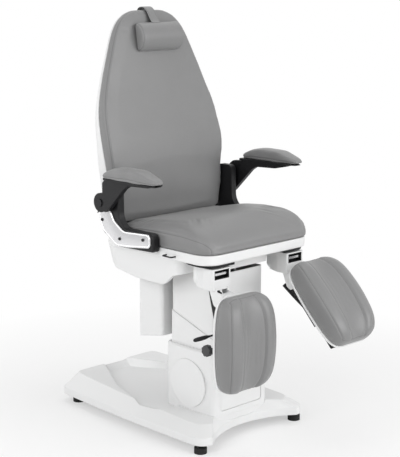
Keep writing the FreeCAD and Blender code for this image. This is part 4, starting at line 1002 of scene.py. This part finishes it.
# %% [markdown]
# The pedestal cover reaches down into the moulded base. A skirt is pulled down from a copy of
# the cover's foot, so that no gap shows where the base falls away in front of it, and the
# rest of the copy is deleted.

# %% Pedestal skirt
PEDESTAL_SEAT, SKIRT_DROP, FOOT_NEAR = 0.090, 0.0225, 0.0004
skirt = copy_of("pedestal_cover", "pedestal_skirt")
pick_faces(skirt, lambda face: (face.normal.z < -0.99
                                and abs(face.center.z - PEDESTAL_SEAT) < FOOT_NEAR))
bpy.ops.mesh.extrude_region_move(TRANSFORM_OT_translate={"value": (0, 0, -SKIRT_DROP)})
bpy.ops.object.mode_set(mode="OBJECT")
pick_faces(skirt, lambda face: face.center.z > PEDESTAL_SEAT + FOOT_NEAR / 2)
bpy.ops.mesh.delete(type="FACE")
bpy.ops.object.mode_set(mode="OBJECT")
bpy.ops.object.shade_smooth_by_angle(angle=SMOOTH_ANGLE)
give(skirt, white_shell)
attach(skirt, "base")
print(size_line(skirt))

# %% [markdown]
# Above each leg unit a black plate lies just under the tray and follows its rounded corner.
# It closes the corner from below; it is partly a real black mounting plate and partly painted
# shade, a dark sheet filling the shadowed gap under the tray. The leg's rail has a black web
# that widens toward the hinge.
# Both are flat shapes: an outline is filled and pulled to its thickness, and the web is then
# stood on edge.

# %% Plates and webs
PLATE_WAY = ((-0.180, 0.096), (-0.250, 0.092), (-0.262, 0.066), (-0.267, 0.030),
             (-0.266, -0.002), (-0.259, -0.024), (-0.244, -0.040), (-0.222, -0.049),
             (-0.190, -0.051), (-0.136, -0.051), (-0.140, -0.010), (-0.156, 0.050))
PLATE_LOW, PLATE_HIGH = 0.7112, 0.7218
WEB_WAY = ((0.030, -0.004), (0.0560, 0.022), (0.0735, 0.022), (0.059, -0.039),
           (0.040, -0.108), (0.027, -0.112), (0.020, -0.112), (0.020, -0.030))
WEB_HALF = 0.0176
ON_EDGE = Matrix(((0, 0, 1, 0), (1, 0, 0, 0), (0, 1, 0, 0), (0, 0, 0, 1)))


def filled_outline(name, corners, thick):
    bpy.ops.object.select_all(action="DESELECT")
    bpy.ops.mesh.primitive_circle_add(vertices=len(corners), radius=1, fill_type="NGON",
                                      location=(0, 0, 0))
    piece = start_piece(name)
    for vertex, (x, y) in zip(piece.data.vertices, corners):
        vertex.co = (x, y, 0)
    edit_all(piece)
    bpy.ops.mesh.extrude_region_move(TRANSFORM_OT_translate={"value": (0, 0, thick)})
    faces_outward()
    return piece


for name, side, raised in LEGS:
    # Painted shade in part: the black plate also fills the shadowed gap under the tray.
    plate = filled_outline("corner_plate_and_gap_shade_" + name, [(-side * x, y) for x, y in PLATE_WAY],
                           PLATE_HIGH - PLATE_LOW)
    plate.data.transform(Matrix.Translation((0, BACK_OF_FEET, PLATE_LOW)))
    softened(plate, 0.0012)
    give(plate, black_coat)
    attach(plate, "seat")
    web = filled_outline("rail_web_" + name, WEB_WAY, 2 * WEB_HALF)
    web.data.transform(leg_frame(side, raised) @ Matrix.Translation((-WEB_HALF, 0, 0)) @ ON_EDGE)
    softened(web, 0.0012)
    give(web, black_coat)
    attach(web, "leg_" + name)
    print(size_line(plate), size_line(web))

# %% [markdown]
# A floor under soft studio light. The floor is nearly white and keeps the chair's shadow. Away
# from the chair it fades into the white of the background, so that no horizon shows. Only the
# camera sees that glow, so it puts no light on the chair.

# %% Floor
FADE_FROM, FADE_RATE, GLOW_NEAR, GLOW_MORE = 0.75, 0.9, 0.45, 0.55
bpy.ops.object.select_all(action="DESELECT")
bpy.ops.mesh.primitive_plane_add(size=120, location=(0, 0, 0))
floor = bpy.context.object
floor.name = "floor"
floor_finish = Finish("floor_white", (0.96, 0.96, 0.96), 0.9)
floor_finish.set("Specular IOR Level", 0.1)
spot = floor_finish.node("ShaderNodeVectorMath", {"operation": "LENGTH"},
                         {0: floor_finish.place()}, "Value")
far = ((spot - FADE_FROM) * FADE_RATE).clamped()
glow = floor_finish.node("ShaderNodeEmission", None, {"Color": (1, 1, 1, 1), "Strength": 1.0})
seen = floor_finish.node("ShaderNodeLightPath", output="Is Camera Ray")
matt = Reading(floor_finish, floor_finish.shader.outputs[0])
mixed = floor_finish.node("ShaderNodeMixShader", None,
                          {0: (far * GLOW_MORE + GLOW_NEAR) * seen, 1: matt, 2: glow})
output_node = floor_finish.tree.nodes["Material Output"]
floor_finish.tree.links.new(mixed.socket, output_node.inputs["Surface"])
give(floor, floor_finish.material)
print("floor:", floor_finish.material.name)

# %% [markdown]
# Four large lamps light the chair: the key from its right, a weak rim from the rear right, a
# strong fill from the front, and one from above. A large lamp has a soft shadow.

# %% Lamps
LAMPS = (("key_lamp", (-3.6, -0.4, 2.2), (2.2, 2.6), 52),
         ("rim_lamp", (-2.8, 2.9, 1.4), (1.8, 2.8), 18),
         ("fill_lamp", (1.2, -4.4, 2.1), (3.2, 2.6), 116),
         ("top_lamp", (0.4, 0.6, 4.2), (3.0, 3.0), 28))
LAMP_AIM = Vector((0, 0, 0.7))


def soft_lamp(name, place, size, energy):
    lamp_data = bpy.data.lights.new(name, "AREA")
    lamp_data.shape = "RECTANGLE"
    lamp_data.size, lamp_data.size_y = size
    lamp_data.energy = energy
    lamp = bpy.data.objects.new(name, lamp_data)
    lamp.location = place
    aim = LAMP_AIM - lamp.location
    lamp.rotation_euler = aim.to_track_quat("-Z", "Y").to_euler()
    bpy.context.scene.collection.objects.link(lamp)


for lamp_row in LAMPS:
    soft_lamp(*lamp_row)
print("lamps:", len(LAMPS))

# %% [markdown]
# The room itself is white. The camera, glass and glossy faces see it at full strength, and all
# other light from it is a little less than half as strong, so that the lamps still shape the
# chair.

# %% White room
ROOM_LIGHT = 0.48
world = bpy.data.worlds.new("white_room")
bpy.context.scene.world = world
world.use_nodes = True
background = world.node_tree.nodes["Background"]
background.inputs["Color"].default_value = (1, 1, 1, 1)
path = world.node_tree.nodes.new("ShaderNodeLightPath")
strength = world.node_tree.nodes.new("ShaderNodeMapRange")
strength.inputs["To Min"].default_value = ROOM_LIGHT
strength.inputs["To Max"].default_value = 1.0
sees = path.outputs["Is Camera Ray"]
for ray in ("Is Transmission Ray", "Is Glossy Ray"):
    either = world.node_tree.nodes.new("ShaderNodeMath")
    either.operation = "MAXIMUM"
    world.node_tree.links.new(sees, either.inputs[0])
    world.node_tree.links.new(path.outputs[ray], either.inputs[1])
    sees = either.outputs[0]
world.node_tree.links.new(sees, strength.inputs["Value"])
world.node_tree.links.new(strength.outputs["Result"], background.inputs["Strength"])
bpy.context.scene.view_settings.view_transform = "Standard"
print("room light:", ROOM_LIGHT)
